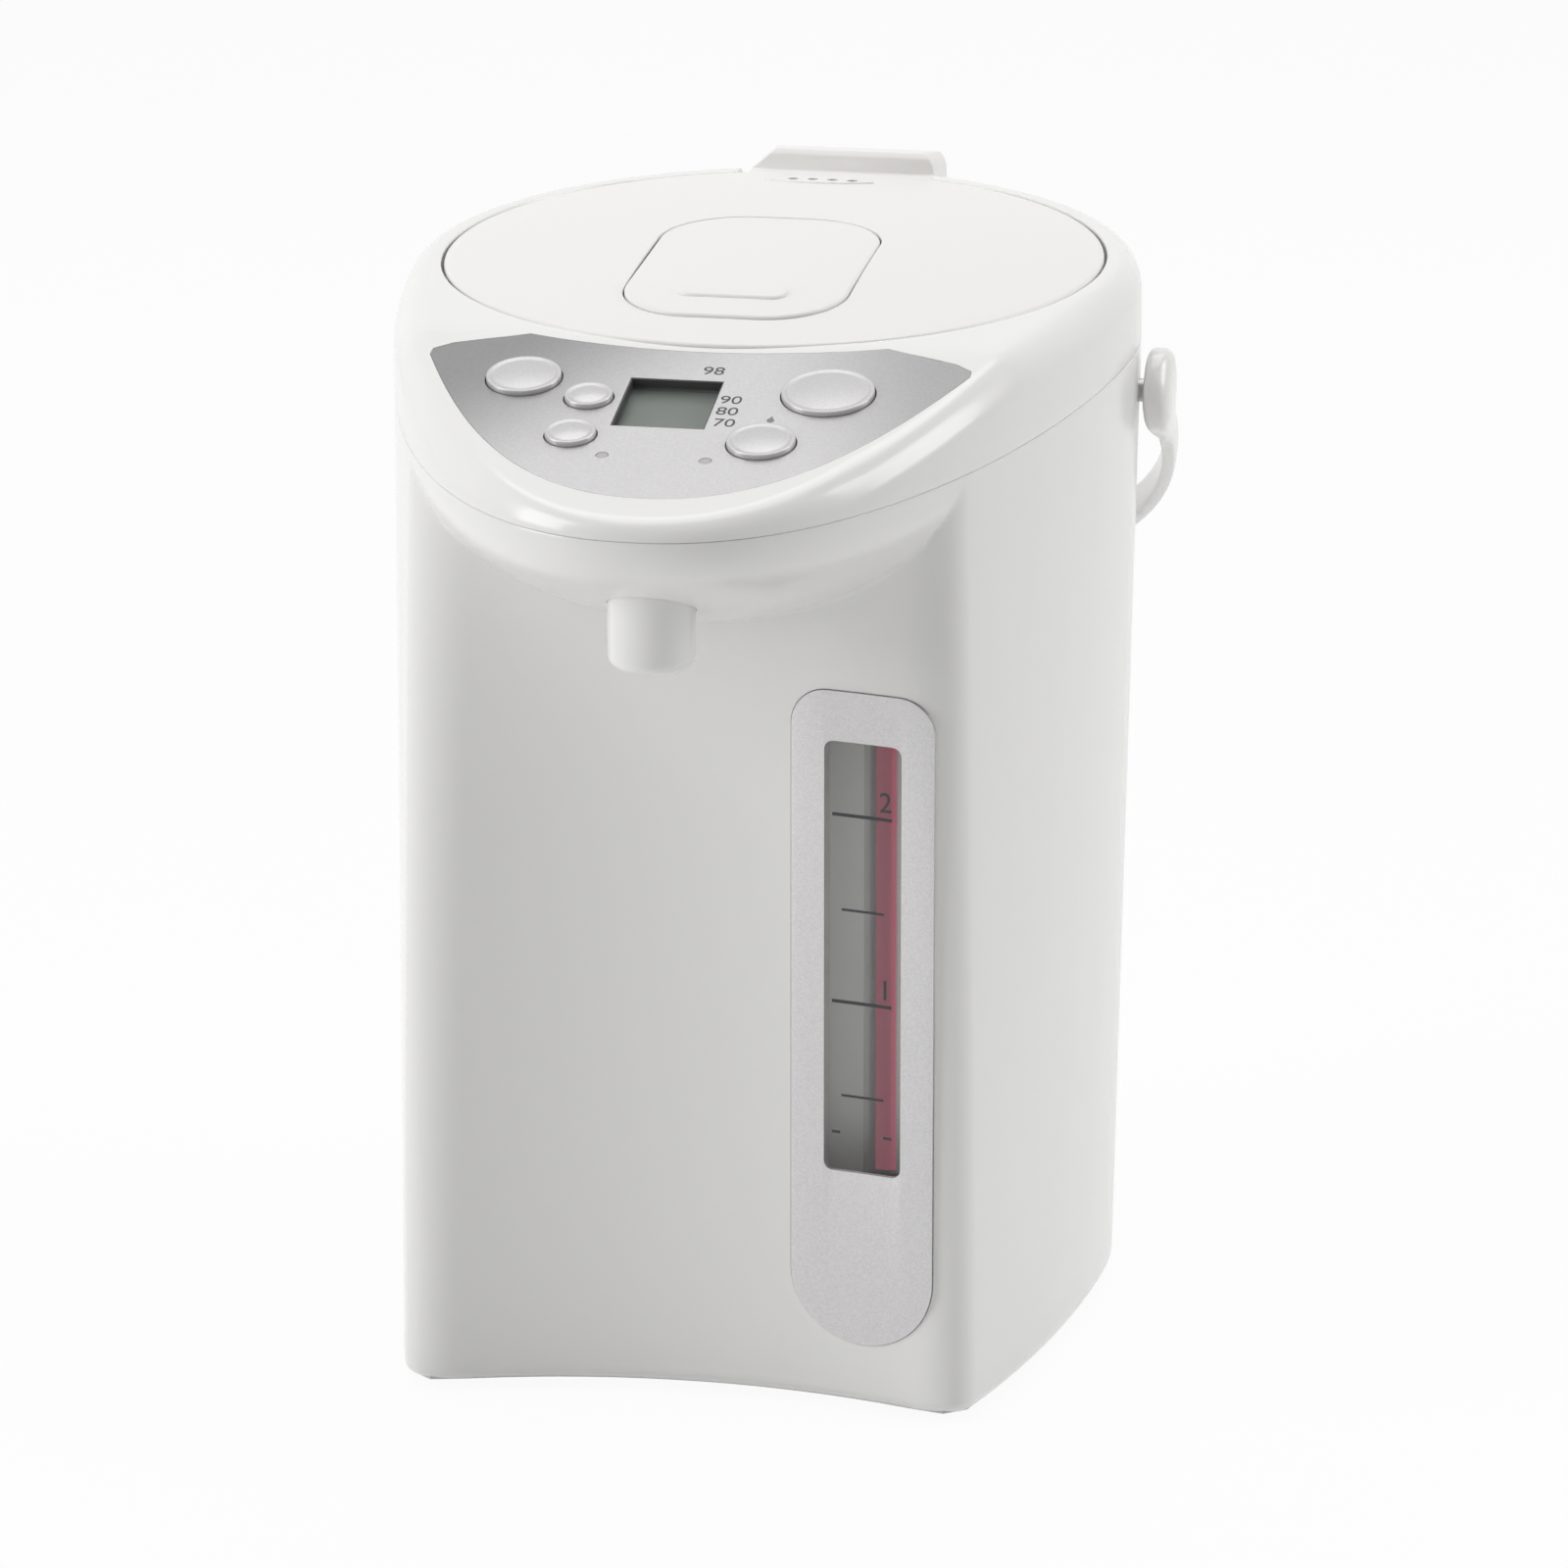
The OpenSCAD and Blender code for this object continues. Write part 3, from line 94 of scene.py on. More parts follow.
class PotLid(bpy.types.PropertyGroup):
    """Sizes of the lid, its release lever and its hinge."""
    lid_r: size("Lid radius", "Radius of the lid", 83.4)
    gap: size("Lid gap", "Gap round the lid", 0.7)
    lid_z: size("Lid height", "Height of the lid's rim plane on the axis", 268.5)
    top_tilt: tilt("Top tilt", "Forward tilt of the lid's rim plane", 3.43)
    dome_h: size("Dome", "Height of the lid's dome over its rim plane", 6)
    thickness: size("Lid thickness", "Thickness of the lid's shell", 2.4)
    lever_half: size("Lever half width", "Half width of the release lever", 28)
    lever_front: size("Lever front", "Distance from the axis to the lever's front edge", 67)
    lever_back: size("Lever back", "Distance from the axis to the lever's rear edge", 14.5)
    lever_corner: size("Lever corner", "Corner radius of the lever", 20)
    lever_gap: size("Lever gap", "Gap round the lever", 0.45)
    lever_rise: size("Lever rise", "Rise of the lever's front edge over the dome", 0.9)
    vent_y: size("Vent row", "Distance from the axis to the row of steam holes", 64.5)
    hinge_y: size("Hinge distance", "Distance from the axis to the hinge pin", 103)
    hinge_z: size("Hinge height", "Height of the hinge pin", 261)


class PotPanel(bpy.types.PropertyGroup):
    """Sizes of the control panel and its buttons."""
    panel_tilt: tilt("Panel tilt", "Forward tilt of the control panel", 15)
    panel_t: size("Panel thickness", "Thickness of the panel", 1.4)
    travel_gap: size("Button gap", "Gap round a button", 0.35)
    screen_x0: size("Screen left", "Left edge of the screen", -15)
    screen_x1: size("Screen right", "Right edge of the screen", 8)
    screen_y0: size("Screen front", "Front edge of the screen", -124.8)
    screen_y1: size("Screen rear", "Rear edge of the screen", -100.8)
    lens_r: size("Lens radius", "Radius of an indicator lens", 1.5)


class PotGauge(bpy.types.PropertyGroup):
    """Sizes of the water gauge and the nozzle."""
    gauge_x: size("Gauge place", "Sideways place of the gauge", 44)
    gauge_w: size("Gauge width", "Width of the gauge's surround", 37)
    gauge_z0: size("Gauge foot", "Lower end of the surround", 18)
    gauge_z1: size("Gauge head", "Upper end of the surround", 184.5)
    gauge_corner: size("Gauge corner", "Radius of the surround's upper corners", 9)
    proud: size("Proud", "Height of the surround over the casing", 0.5)
    surround_t: size("Surround depth", "Depth of the surround into the casing", 1.0)
    window_w: size("Window width", "Width of the window", 20)
    window_z0: size("Window foot", "Lower end of the window", 62.5)
    window_z1: size("Window head", "Upper end of the window", 172)
    spout_y: size("Spout distance", "Distance from the axis to the nozzle", 148)
    spout_z: size("Spout height", "Height of the nozzle's lower end", 199)
    spout_r: size("Spout radius", "Outer radius of the nozzle", 10.6)
    bore_r: size("Bore radius", "Bore radius of the nozzle", 4)


class PotHandle(bpy.types.PropertyGroup):
    """Sizes of the bail handle."""
    pivot_y: size("Pivot distance", "Distance of the handle's pivots behind the axis", 14)
    pivot_z: size("Pivot height", "Height of the handle's pivots", 234.5)
    hang: tilt("Hang", "Angle at which the bail hangs below the horizontal", 38)
    bail_r: size("Bail radius", "Inner half width of the bail", 94.4)
    arm: size("Arm", "Straight length of the bail's arms", 21)
    strap_w: size("Strap width", "Width of the bail's strap", 10)
    strap_t: size("Strap thickness", "Thickness of the bail's strap", 4)
    ear_r: size("Ear radius", "Radius of the bail's ears", 11)
    ear_in: size("Ear inside", "Half distance between the ears' inner faces", 93.4)
    ear_out: size("Ear outside", "Half distance between the ears' outer faces", 100.6)


class PotFinish(bpy.types.PropertyGroup):
    """Colours of the pot."""
    casing: colour("Casing", "Warm white of the mouldings", (0.885, 0.88, 0.868))
    lid: colour("Lid", "Warm white of the lid", (0.90, 0.885, 0.868))
    silver: colour("Silver", "Silver of the panel and the gauge's surround", (0.53, 0.52, 0.525))
    pearl: colour("Pearl", "Pearl silver of the buttons", (0.52, 0.51, 0.515))
    screen: colour("Screen", "Grey green of the screen", (0.105, 0.13, 0.108))
    ink: colour("Ink", "Dark grey of printed marks", (0.035, 0.035, 0.04))
    red: colour("Red", "Red strip behind the sight tube", (0.85, 0.17, 0.27))
    channel: colour("Channel", "Grey of the channel behind the window", (0.74, 0.75, 0.74))


# ---------------------------------------------------------------- mesh helpers

def new_object(name, points, faces):
    mesh = bpy.data.meshes.new(name)
    mesh.from_pydata([tuple(float(c) for c in p) for p in points], [], faces)
    obj = bpy.data.objects.new(name, mesh)
    bpy.context.scene.collection.objects.link(obj)
    clean(obj)
    return obj


def clean(obj, merge=1e-7):
    """Merge points that fall together and turn every face outwards."""
    work = bmesh.new()
    work.from_mesh(obj.data)
    bmesh.ops.remove_doubles(work, verts=work.verts, dist=merge)
    bmesh.ops.dissolve_degenerate(work, edges=work.edges, dist=merge)
    bmesh.ops.recalc_face_normals(work, faces=work.faces)
    work.to_mesh(obj.data)
    work.free()
    obj.data.update()


def loft(name, rings, ends="loop"):
    """A skin over rings of equally many points. ends: 'loop' joins the last ring to the first, 'caps' closes both."""
    rings = np.asarray(rings, float)
    m, n = rings.shape[:2]
    last = m if ends == "loop" else m - 1
    faces = []
    for j in range(last):
        low, high = j * n, ((j + 1) % m) * n
        for i in range(n):
            k = (i + 1) % n
            faces.append((low + i, low + k, high + k, high + i))
    if ends == "caps":
        faces.append(tuple(range(n - 1, -1, -1)))
        faces.append(tuple((m - 1) * n + i for i in range(n)))
    return new_object(name, rings.reshape(-1, 3), faces)


def lathe(name, profile, segments=96):
    """A solid turned about Z from a closed outline of (radius, height) pairs."""
    turn = np.linspace(0, 2 * np.pi, segments, endpoint=False)
    rings = [np.stack([r * np.cos(turn), r * np.sin(turn), np.full(segments, z)], 1) for r, z in profile]
    return loft(name, rings)


def prism(name, outline, z0, z1):
    outline = [tuple(p) for p in outline]
    n = len(outline)
    points = [(x, y, z0) for x, y in outline] + [(x, y, z1) for x, y in outline]
    faces = [tuple(range(n - 1, -1, -1)), tuple(range(n, 2 * n))]
    faces += [(i, (i + 1) % n, n + (i + 1) % n, n + i) for i in range(n)]
    return new_object(name, points, faces)


def box(name, low, high):
    (x0, y0, z0), (x1, y1, z1) = low, high
    return prism(name, [(x0, y0), (x1, y0), (x1, y1), (x0, y1)], z0, z1)


def rod(name, radius, length, segments=64):
    """A cylinder along Z from the origin."""
    turn = np.linspace(0, 2 * np.pi, segments, endpoint=False)
    return prism(name, np.stack([radius * np.cos(turn), radius * np.sin(turn)], 1), 0, length)


def moved(obj, matrix):
    obj.data.transform(matrix)
    if matrix.determinant() < 0:
        obj.data.flip_normals()
    obj.data.update()
    return obj


def apply_modifier(obj, modifier):
    bpy.context.view_layer.objects.active = obj
    bpy.ops.object.modifier_apply(modifier=modifier.name)


def combine(obj, other, operation="DIFFERENCE"):
    modifier = obj.modifiers.new("combine", "BOOLEAN")
    modifier.object = other
    modifier.operation = operation
    modifier.solver = "EXACT"
    apply_modifier(obj, modifier)
    bpy.data.objects.remove(other)
    return obj


def joined(obj, *others):
    """Put the meshes of the others into obj."""
    work = bmesh.new()
    work.from_mesh(obj.data)
    for other in others:
        work.from_mesh(other.data)
        bpy.data.objects.remove(other)
    work.to_mesh(obj.data)
    work.free()
    obj.data.update()
    return obj


def bevelled(obj, width, segments=3, angle=40):
    modifier = obj.modifiers.new("edges", "BEVEL")
    modifier.width = width
    modifier.segments = segments
    modifier.limit_method = "ANGLE"
    modifier.angle_limit = math.radians(angle)
    modifier.use_clamp_overlap = True
    apply_modifier(obj, modifier)
    return obj


def finished(obj, body, slot, material, *nodes, sharp=38):
    """Move a piece from the pot's axis to the frame, and give it its shading, material and body. The slot is not
    used.
    """
    moved(obj, Matrix.Translation((0, AXIS_Y, 0)))
    obj.data.polygons.foreach_set("use_smooth", [True] * len(obj.data.polygons))
    obj.data.set_sharp_from_angle(angle=math.radians(sharp))
    obj.data.materials.clear()
    obj.data.materials.append(material)
    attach(obj, body)
    if nodes:
        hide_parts(*nodes)
    return obj


def text_mesh(name, words, height, matrix, thickness):
    """Plain numerals as a thin mesh, centred on the matrix's origin."""
    curve = bpy.data.curves.new(name, "FONT")
    curve.body = words
    curve.size = height
    curve.extrude = thickness / 2
    curve.align_x = "CENTER"
    curve.align_y = "CENTER"
    letter = bpy.data.objects.new(name + "_curve", curve)
    bpy.context.scene.collection.objects.link(letter)
    mesh = bpy.data.meshes.new_from_object(letter.evaluated_get(bpy.context.evaluated_depsgraph_get()))
    bpy.data.objects.remove(letter)
    obj = bpy.data.objects.new(name, mesh)
    bpy.context.scene.collection.objects.link(obj)
    return moved(obj, matrix)


# ---------------------------------------------------------------- form of the casing

def settings(*names):
    """The property groups of those names, in that order."""
    return [getattr(bpy.context.scene, "pot_" + name) for name in names]


def finish():
    return bpy.context.scene.pot_finish


EGG_POWER = 2.18
SEAM_POWER = 1.56
BASE_POWER = 1.744
PANEL_BACK = 1.9 * MM


def smooth_min(a, b, k):
    return np.minimum(a, b) - np.maximum(k - np.abs(a - b), 0) ** 2 / (4 * np.maximum(k, 1e-9))


def smooth_max(a, b, k):
    return np.maximum(a, b) + np.maximum(k - np.abs(a - b), 0) ** 2 / (4 * np.maximum(k, 1e-9))


def egg_radius(angle, half_width, reach, power):
    """Radius of an egg outline at an angle from the front, refined step by step."""
    ahead = np.maximum(np.cos(angle), 1e-9)
    r = np.full_like(angle, 1.0) * half_width
    for _ in range(12):
        value = (np.abs(r * np.sin(angle)) / half_width) ** EGG_POWER + (r * ahead / reach) ** power
        r = r / value ** 0.52
    return np.where(np.cos(angle) <= 0.001, half_width, r)


def front_radius(c, angle):
    """Radius of the concave front at an angle from the front."""
    centre = c.front_y + c.front_r
    inside = (centre * np.cos(angle)) ** 2 - centre ** 2 + c.front_r ** 2
    return np.where((np.cos(angle) > 0) & (inside > 0),
                    centre * np.cos(angle) - np.sqrt(np.maximum(inside, 0)), 9.0)


def wall_radius(c, angle, down):
    def mix(top, foot):
        return top + (foot - top) * down
    egg = egg_radius(angle, mix(c.collar_r, c.base_r), mix(c.beak_reach, c.base_reach), mix(SEAM_POWER, BASE_POWER))
    return smooth_min(egg, front_radius(c, angle), c.corner_round)


def bowl_radius(c, angle, down):
    egg = egg_radius(angle, c.collar_r, c.beak_reach, SEAM_POWER)
    return egg * np.maximum(1 - c.bowl_fall * (down * c.seam_z / c.bowl_depth) ** 2, 0.1)


RIM_SHARE = 0.05


def crease_share(c, angle):
    """Share of the height at which the bowl meets the front."""
    fall = 1 - wall_radius(c, angle, 0.15) / egg_radius(angle, c.collar_r, c.beak_reach, SEAM_POWER)
    return np.maximum(RIM_SHARE, c.bowl_depth / c.seam_z * np.sqrt(np.maximum(fall, 0) / c.bowl_fall))


def casing_radius(c, angle, down, lift=0.0):
    fillet = c.fillet * np.clip((crease_share(c, angle) - RIM_SHARE) / 0.02, 0, 1)
    return smooth_max(wall_radius(c, angle, down), bowl_radius(c, angle, down + lift), fillet)


def around(angle, radius, height):
    return np.stack([radius * np.sin(angle), -radius * np.cos(angle), height], 1)


def seam_height(c, y):
    return c.seam_z + c.seam_slope * y


def casing_ring(c, angle, t, inset=0.0, lift=0.0, drop=0.0):
    """Ring of the casing: t runs from 0 at the seam to 1 at the crease and 2 at the base."""
    crease = crease_share(c, angle) - lift
    down = crease * t if t <= 1 else crease + (1 - crease) * (t - 1)
    down = down + drop / c.seam_z
    radius = casing_radius(c, angle, down, lift) - inset
    y = -radius * np.cos(angle)
    return around(angle, radius, c.base_z + (seam_height(c, y) - c.base_z) * (1 - down))


def top_height(l, p, y):
    """Height of the top at a distance y: the lid's rim plane, and the control panel's plane in front of it."""
    edge = l.lid_r - PANEL_BACK
    lid = l.lid_z + math.tan(l.top_tilt) * y
    panel = l.lid_z - math.tan(l.top_tilt) * edge + math.tan(p.panel_tilt) * (y + edge)
    return smooth_min(lid, panel, 0.8 * MM)


def lid_place(l):
    return Matrix.Translation((0, 0, l.lid_z)) @ Matrix.Rotation(l.top_tilt, 4, "X")


def panel_place(l, p):
    edge = l.lid_r - PANEL_BACK
    crease = Vector((0, -edge, l.lid_z - math.tan(l.top_tilt) * edge))
    return Matrix.Translation(crease) @ Matrix.Rotation(p.panel_tilt, 4, "X")


def on_panel(l, p, y):
    """Distance along the panel from its rear crease to the place y."""
    return (y + l.lid_r - PANEL_BACK) / math.cos(p.panel_tilt)


def turned(points, matrix):
    return np.asarray([matrix @ Vector(q) for q in points], float)


def all_angles():
    """Angles round the casing, closer together at the two front corners."""
    half = np.concatenate([np.arange(*part) for part in ((0, 20, 1.25), (20, 46, 0.5), (46, 60, 1), (60, 180, 2))])
    return np.radians(np.concatenate([half, 360 - half[:0:-1]]))


# ---------------------------------------------------------------- materials

FINE_GRAIN = 20.0
DARK_FLAKE = 0.94
BUMP_HEIGHT = 0.02 * MM


def socket(group, name, kind, way, default=None):
    made = group.interface.new_socket(name=name, in_out=way, socket_type=kind)
    if default is not None:
        made.default_value = default
    return made


def number_node(nodes, links, operation, *values):
    """A math node fed with sockets or plain numbers. Returns its output."""
    node = nodes.new("ShaderNodeMath")
    node.operation = operation
    for slot, value in zip(node.inputs, values):
        if isinstance(value, bpy.types.NodeSocket):
            links.new(value, slot)
        else:
            slot.default_value = value
    return node.outputs[0]


def shaded(nodes, links, tone, share_left):
    """A colour scaled by a number. Returns the output."""
    node = nodes.new("ShaderNodeVectorMath")
    node.operation = "SCALE"
    links.new(tone, node.inputs[0])
    links.new(share_left, node.inputs["Scale"])
    return node.outputs[0]


def grain_group():
    """Fine moulded grain: a slightly uneven tone and gloss, and a shallow orange peel."""
    group = bpy.data.node_groups.get("moulded_grain")
    if group:
        return group
    group = bpy.data.node_groups.new("moulded_grain", "ShaderNodeTree")
    socket(group, "Tone", "NodeSocketColor", "INPUT", (0.8, 0.8, 0.8, 1))
    socket(group, "Scale", "NodeSocketFloat", "INPUT", 60.0)
    socket(group, "Unevenness", "NodeSocketFloat", "INPUT", 0.03)
    socket(group, "Roughness", "NodeSocketFloat", "INPUT", 0.3)
    socket(group, "Roughness spread", "NodeSocketFloat", "INPUT", 0.05)
    socket(group, "Color", "NodeSocketColor", "OUTPUT")
    socket(group, "Roughness", "NodeSocketFloat", "OUTPUT")
    socket(group, "Height", "NodeSocketFloat", "OUTPUT")
    nodes, links = group.nodes, group.links
    inputs, outputs = nodes.new("NodeGroupInput"), nodes.new("NodeGroupOutput")
    place = nodes.new("ShaderNodeTexCoord")
    broad, fine = nodes.new("ShaderNodeTexNoise"), nodes.new("ShaderNodeTexNoise")
    broad.inputs["Scale"].default_value = 9.0
    broad.inputs["Detail"].default_value = 3.0
    fine.inputs["Detail"].default_value = 2.0
    links.new(place.outputs["Object"], broad.inputs["Vector"])
    links.new(place.outputs["Object"], fine.inputs["Vector"])
    links.new(number_node(nodes, links, "MULTIPLY", inputs.outputs["Scale"], FINE_GRAIN), fine.inputs["Scale"])
    tone = nodes.new("ShaderNodeMapRange")
    tone.inputs["To Max"].default_value = 1.0
    links.new(number_node(nodes, links, "SUBTRACT", 1.0, inputs.outputs["Unevenness"]), tone.inputs["To Min"])
    links.new(broad.outputs["Fac"], tone.inputs["Value"])
    links.new(shaded(nodes, links, inputs.outputs["Tone"], tone.outputs["Result"]), outputs.inputs["Color"])
    gloss = number_node(nodes, links, "MULTIPLY_ADD", broad.outputs["Fac"], inputs.outputs["Roughness spread"],
                        inputs.outputs["Roughness"])
    links.new(gloss, outputs.inputs["Roughness"])
    links.new(fine.outputs["Fac"], outputs.inputs["Height"])
    return group


def brush_group():
    """Fine lines of a drawn or brushed sheet along one axis."""
    group = bpy.data.node_groups.get("drawn_lines")
    if group:
        return group
    group = bpy.data.node_groups.new("drawn_lines", "ShaderNodeTree")
    socket(group, "Tone", "NodeSocketColor", "INPUT", (0.7, 0.7, 0.7, 1))
    socket(group, "Stretch", "NodeSocketVector", "INPUT")
    socket(group, "Depth", "NodeSocketFloat", "INPUT", 0.1)
    socket(group, "Color", "NodeSocketColor", "OUTPUT")
    socket(group, "Roughness", "NodeSocketFloat", "OUTPUT")
    socket(group, "Height", "NodeSocketFloat", "OUTPUT")
    nodes, links = group.nodes, group.links
    inputs, outputs = nodes.new("NodeGroupInput"), nodes.new("NodeGroupOutput")
    place, stretched = nodes.new("ShaderNodeTexCoord"), nodes.new("ShaderNodeVectorMath")
    stretched.operation = "MULTIPLY"
    links.new(place.outputs["Object"], stretched.inputs[0])
    links.new(inputs.outputs["Stretch"], stretched.inputs[1])
    lines = nodes.new("ShaderNodeTexNoise")
    lines.inputs["Scale"].default_value = 1.0
    lines.inputs["Detail"].default_value = 4.0
    links.new(stretched.outputs[0], lines.inputs["Vector"])
    dip = number_node(nodes, links, "MULTIPLY", lines.outputs["Fac"], inputs.outputs["Depth"])
    left = number_node(nodes, links, "SUBTRACT", 1.0, dip)
    links.new(shaded(nodes, links, inputs.outputs["Tone"], left), outputs.inputs["Color"])
    rough = nodes.new("ShaderNodeMapRange")
    rough.inputs["To Min"].default_value = 0.24
    rough.inputs["To Max"].default_value = 0.46
    links.new(lines.outputs["Fac"], rough.inputs["Value"])
    links.new(rough.outputs["Result"], outputs.inputs["Roughness"])
    links.new(lines.outputs["Fac"], outputs.inputs["Height"])
    return group


def flake_group():
    """Metal flake in a paint: tiny cells that differ a little in tone."""
    group = bpy.data.node_groups.get("metal_flake")
    if group:
        return group
    group = bpy.data.node_groups.new("metal_flake", "ShaderNodeTree")
    socket(group, "Tone", "NodeSocketColor", "INPUT", (0.6, 0.6, 0.6, 1))
    socket(group, "Flake scale", "NodeSocketFloat", "INPUT", 2600.0)
    socket(group, "Sparkle", "NodeSocketFloat", "INPUT", 0.12)
    socket(group, "Color", "NodeSocketColor", "OUTPUT")
    socket(group, "Height", "NodeSocketFloat", "OUTPUT")
    nodes, links = group.nodes, group.links
    inputs, outputs = nodes.new("NodeGroupInput"), nodes.new("NodeGroupOutput")
    place, cells = nodes.new("ShaderNodeTexCoord"), nodes.new("ShaderNodeTexVoronoi")
    links.new(place.outputs["Object"], cells.inputs["Vector"])
    links.new(inputs.outputs["Flake scale"], cells.inputs["Scale"])
    bright = nodes.new("ShaderNodeSeparateColor")
    links.new(cells.outputs["Color"], bright.inputs[0])
    swing = number_node(nodes, links, "MULTIPLY_ADD", bright.outputs[0], inputs.outputs["Sparkle"], DARK_FLAKE)
    links.new(shaded(nodes, links, inputs.outputs["Tone"], swing), outputs.inputs["Color"])
    links.new(cells.outputs["Distance"], outputs.inputs["Height"])
    return group


def material_base(name):
    """The finish of that name, with its nodes and its shader where it is new."""
    name = "finish_" + name
    material = bpy.data.materials.get(name)
    if material:
        return material, None, None
    material = bpy.data.materials.new(name)
    material.use_nodes = True
    nodes = material.node_tree.nodes
    return material, nodes, nodes["Principled BSDF"]


def link_bump(material, height, strength, distance):
    nodes, links = material.node_tree.nodes, material.node_tree.links
    bump = nodes.new("ShaderNodeBump")
    bump.inputs["Strength"].default_value = strength
    bump.inputs["Distance"].default_value = distance
    links.new(height, bump.inputs["Height"])
    links.new(bump.outputs["Normal"], nodes["Principled BSDF"].inputs["Normal"])


def moulded(name, tone, roughness=0.3, scale=60.0, unevenness=0.03, bump=0.05, coat=0.0, alpha=1.0, specular=0.5):
    """Moulded plastic or rubber with a fine grain."""
    material, nodes, shader = material_base(name)
    if nodes is None:
        return material
    grain = nodes.new("ShaderNodeGroup")
    grain.node_tree = grain_group()
    grain.inputs["Tone"].default_value = (*tone, 1)
    grain.inputs["Scale"].default_value = scale
    grain.inputs["Unevenness"].default_value = unevenness
    grain.inputs["Roughness"].default_value = roughness
    links = material.node_tree.links
    links.new(grain.outputs["Color"], shader.inputs["Base Color"])
    links.new(grain.outputs["Roughness"], shader.inputs["Roughness"])
    link_bump(material, grain.outputs["Height"], bump, BUMP_HEIGHT)
    shader.inputs["Coat Weight"].default_value = coat
    shader.inputs["Coat Roughness"].default_value = 0.08
    shader.inputs["Alpha"].default_value = alpha
    shader.inputs["Specular IOR Level"].default_value = specular
    return material


def flaked(name, tone, metallic, roughness, coat=0.3, scale=2600.0):
    """Silver or pearl paint with metal flake under a clear film."""
    material, nodes, shader = material_base(name)
    if nodes is None:
        return material
    flake = nodes.new("ShaderNodeGroup")
    flake.node_tree = flake_group()
    flake.inputs["Tone"].default_value = (*tone, 1)
    flake.inputs["Flake scale"].default_value = scale
    material.node_tree.links.new(flake.outputs["Color"], shader.inputs["Base Color"])
    link_bump(material, flake.outputs["Height"], 0.08, BUMP_HEIGHT)
    shader.inputs["Metallic"].default_value = metallic
    shader.inputs["Roughness"].default_value = roughness
    shader.inputs["Coat Weight"].default_value = coat
    shader.inputs["Coat Roughness"].default_value = 0.2
    return material


def brushed(name, tone, stretch, depth=0.12):
    """Plain or drawn steel."""
    material, nodes, shader = material_base(name)
    if nodes is None:
        return material
    lines = nodes.new("ShaderNodeGroup")
    lines.node_tree = brush_group()
    lines.inputs["Tone"].default_value = (*tone, 1)
    lines.inputs["Stretch"].default_value = stretch
    lines.inputs["Depth"].default_value = depth
    links = material.node_tree.links
    links.new(lines.outputs["Color"], shader.inputs["Base Color"])
    links.new(lines.outputs["Roughness"], shader.inputs["Roughness"])
    link_bump(material, lines.outputs["Height"], 0.06, BUMP_HEIGHT)
    shader.inputs["Metallic"].default_value = 1.0
    return material


def casing_white():
    return moulded("casing_white", finish().casing, roughness=0.2, scale=45, unevenness=0.012,
                   bump=0.03, coat=0.25)


def lid_white():
    return moulded("lid_white", finish().lid, roughness=0.34, scale=70, unevenness=0.012, bump=0.06)


# Centre of the painted shade on the panel's silver film.
PAINTED_SHADE_CENTRE_Y = AXIS_Y - 0.115
# Painted shade on the silver film: direction, where the fade starts and ends along it, and the tone at its end.
PAINTED_SHADE_FADES = (((0.83, -0.56, 0), -0.002, -0.058, 0.4), ((1, 0.35, 0), 0.02, 0.072, 0.6))


def silver_film():
    """Silver film painted darker towards its two ends: painted shade for the studio reflection that falls off there.
    """
    known = bpy.data.materials.get("finish_panel_silver")
    material = flaked("panel_silver", finish().silver, 0.5, 0.34)
    if known:
        return material
    nodes, links = material.node_tree.nodes, material.node_tree.links
    place = nodes.new("ShaderNodeTexCoord")
    shade_fades = []
    for direction, start, end, low in PAINTED_SHADE_FADES:
        along, fade = nodes.new("ShaderNodeVectorMath"), nodes.new("ShaderNodeMapRange")
        along.operation = "DOT_PRODUCT"
        along.inputs[1].default_value = direction
        middle = direction[1] * PAINTED_SHADE_CENTRE_Y
        fade.interpolation_type = "SMOOTHSTEP"
        for name, value in (("From Min", start + middle), ("From Max", end + middle), ("To Min", 1), ("To Max", low)):
            fade.inputs[name].default_value = value
        links.new(place.outputs["Object"], along.inputs[0])
        links.new(along.outputs["Value"], fade.inputs["Value"])
        shade_fades.append(fade.outputs["Result"])
    both = number_node(nodes, links, "MULTIPLY", *shade_fades)
    # The silver's tone is scaled by both fades: painted shade.
    base = nodes["Principled BSDF"].inputs["Base Color"]
    links.new(shaded(nodes, links, base.links[0].from_socket, both), base)
    return material


def silver_surround():
    tone = [min(1.0, 1.3 * c) for c in finish().silver]
    return flaked("gauge_silver", tone, 0.3, 0.42, coat=0.2)


def pearl():
    return flaked("button_pearl", finish().pearl, 0.35, 0.36, coat=0.3, scale=3400)


def ink():
    return moulded("print_ink", finish().ink, roughness=0.5, scale=120, unevenness=0.1, bump=0.02)


def clear(name="clear_window", tone=(0.9, 0.92, 0.92), alpha=0.16, roughness=0.06):
    return moulded(name, tone, roughness=roughness, scale=30, unevenness=0.01, bump=0.01, alpha=alpha)


def clear_tube():
    """Clear tube that looks denser along its edges."""
    material, nodes, shader = material_base("tube_clear")
    if nodes is None:
        return material
    links = material.node_tree.links
    grain = nodes.new("ShaderNodeGroup")
    grain.node_tree = grain_group()
    grain.inputs["Tone"].default_value = (0.78, 0.84, 0.83, 1)
    grain.inputs["Unevenness"].default_value = 0.03
    links.new(grain.outputs["Color"], shader.inputs["Base Color"])
    shader.inputs["Roughness"].default_value = 0.08
    facing, dense = nodes.new("ShaderNodeLayerWeight"), nodes.new("ShaderNodeMapRange")
    facing.inputs["Blend"].default_value = 0.35
    dense.inputs["From Min"].default_value = 0.45
    dense.inputs["To Min"].default_value = 0.03
    dense.inputs["To Max"].default_value = 0.35
    links.new(facing.outputs["Facing"], dense.inputs["Value"])
    links.new(dense.outputs["Result"], shader.inputs["Alpha"])
    return material


# ---------------------------------------------------------------- casing and collar

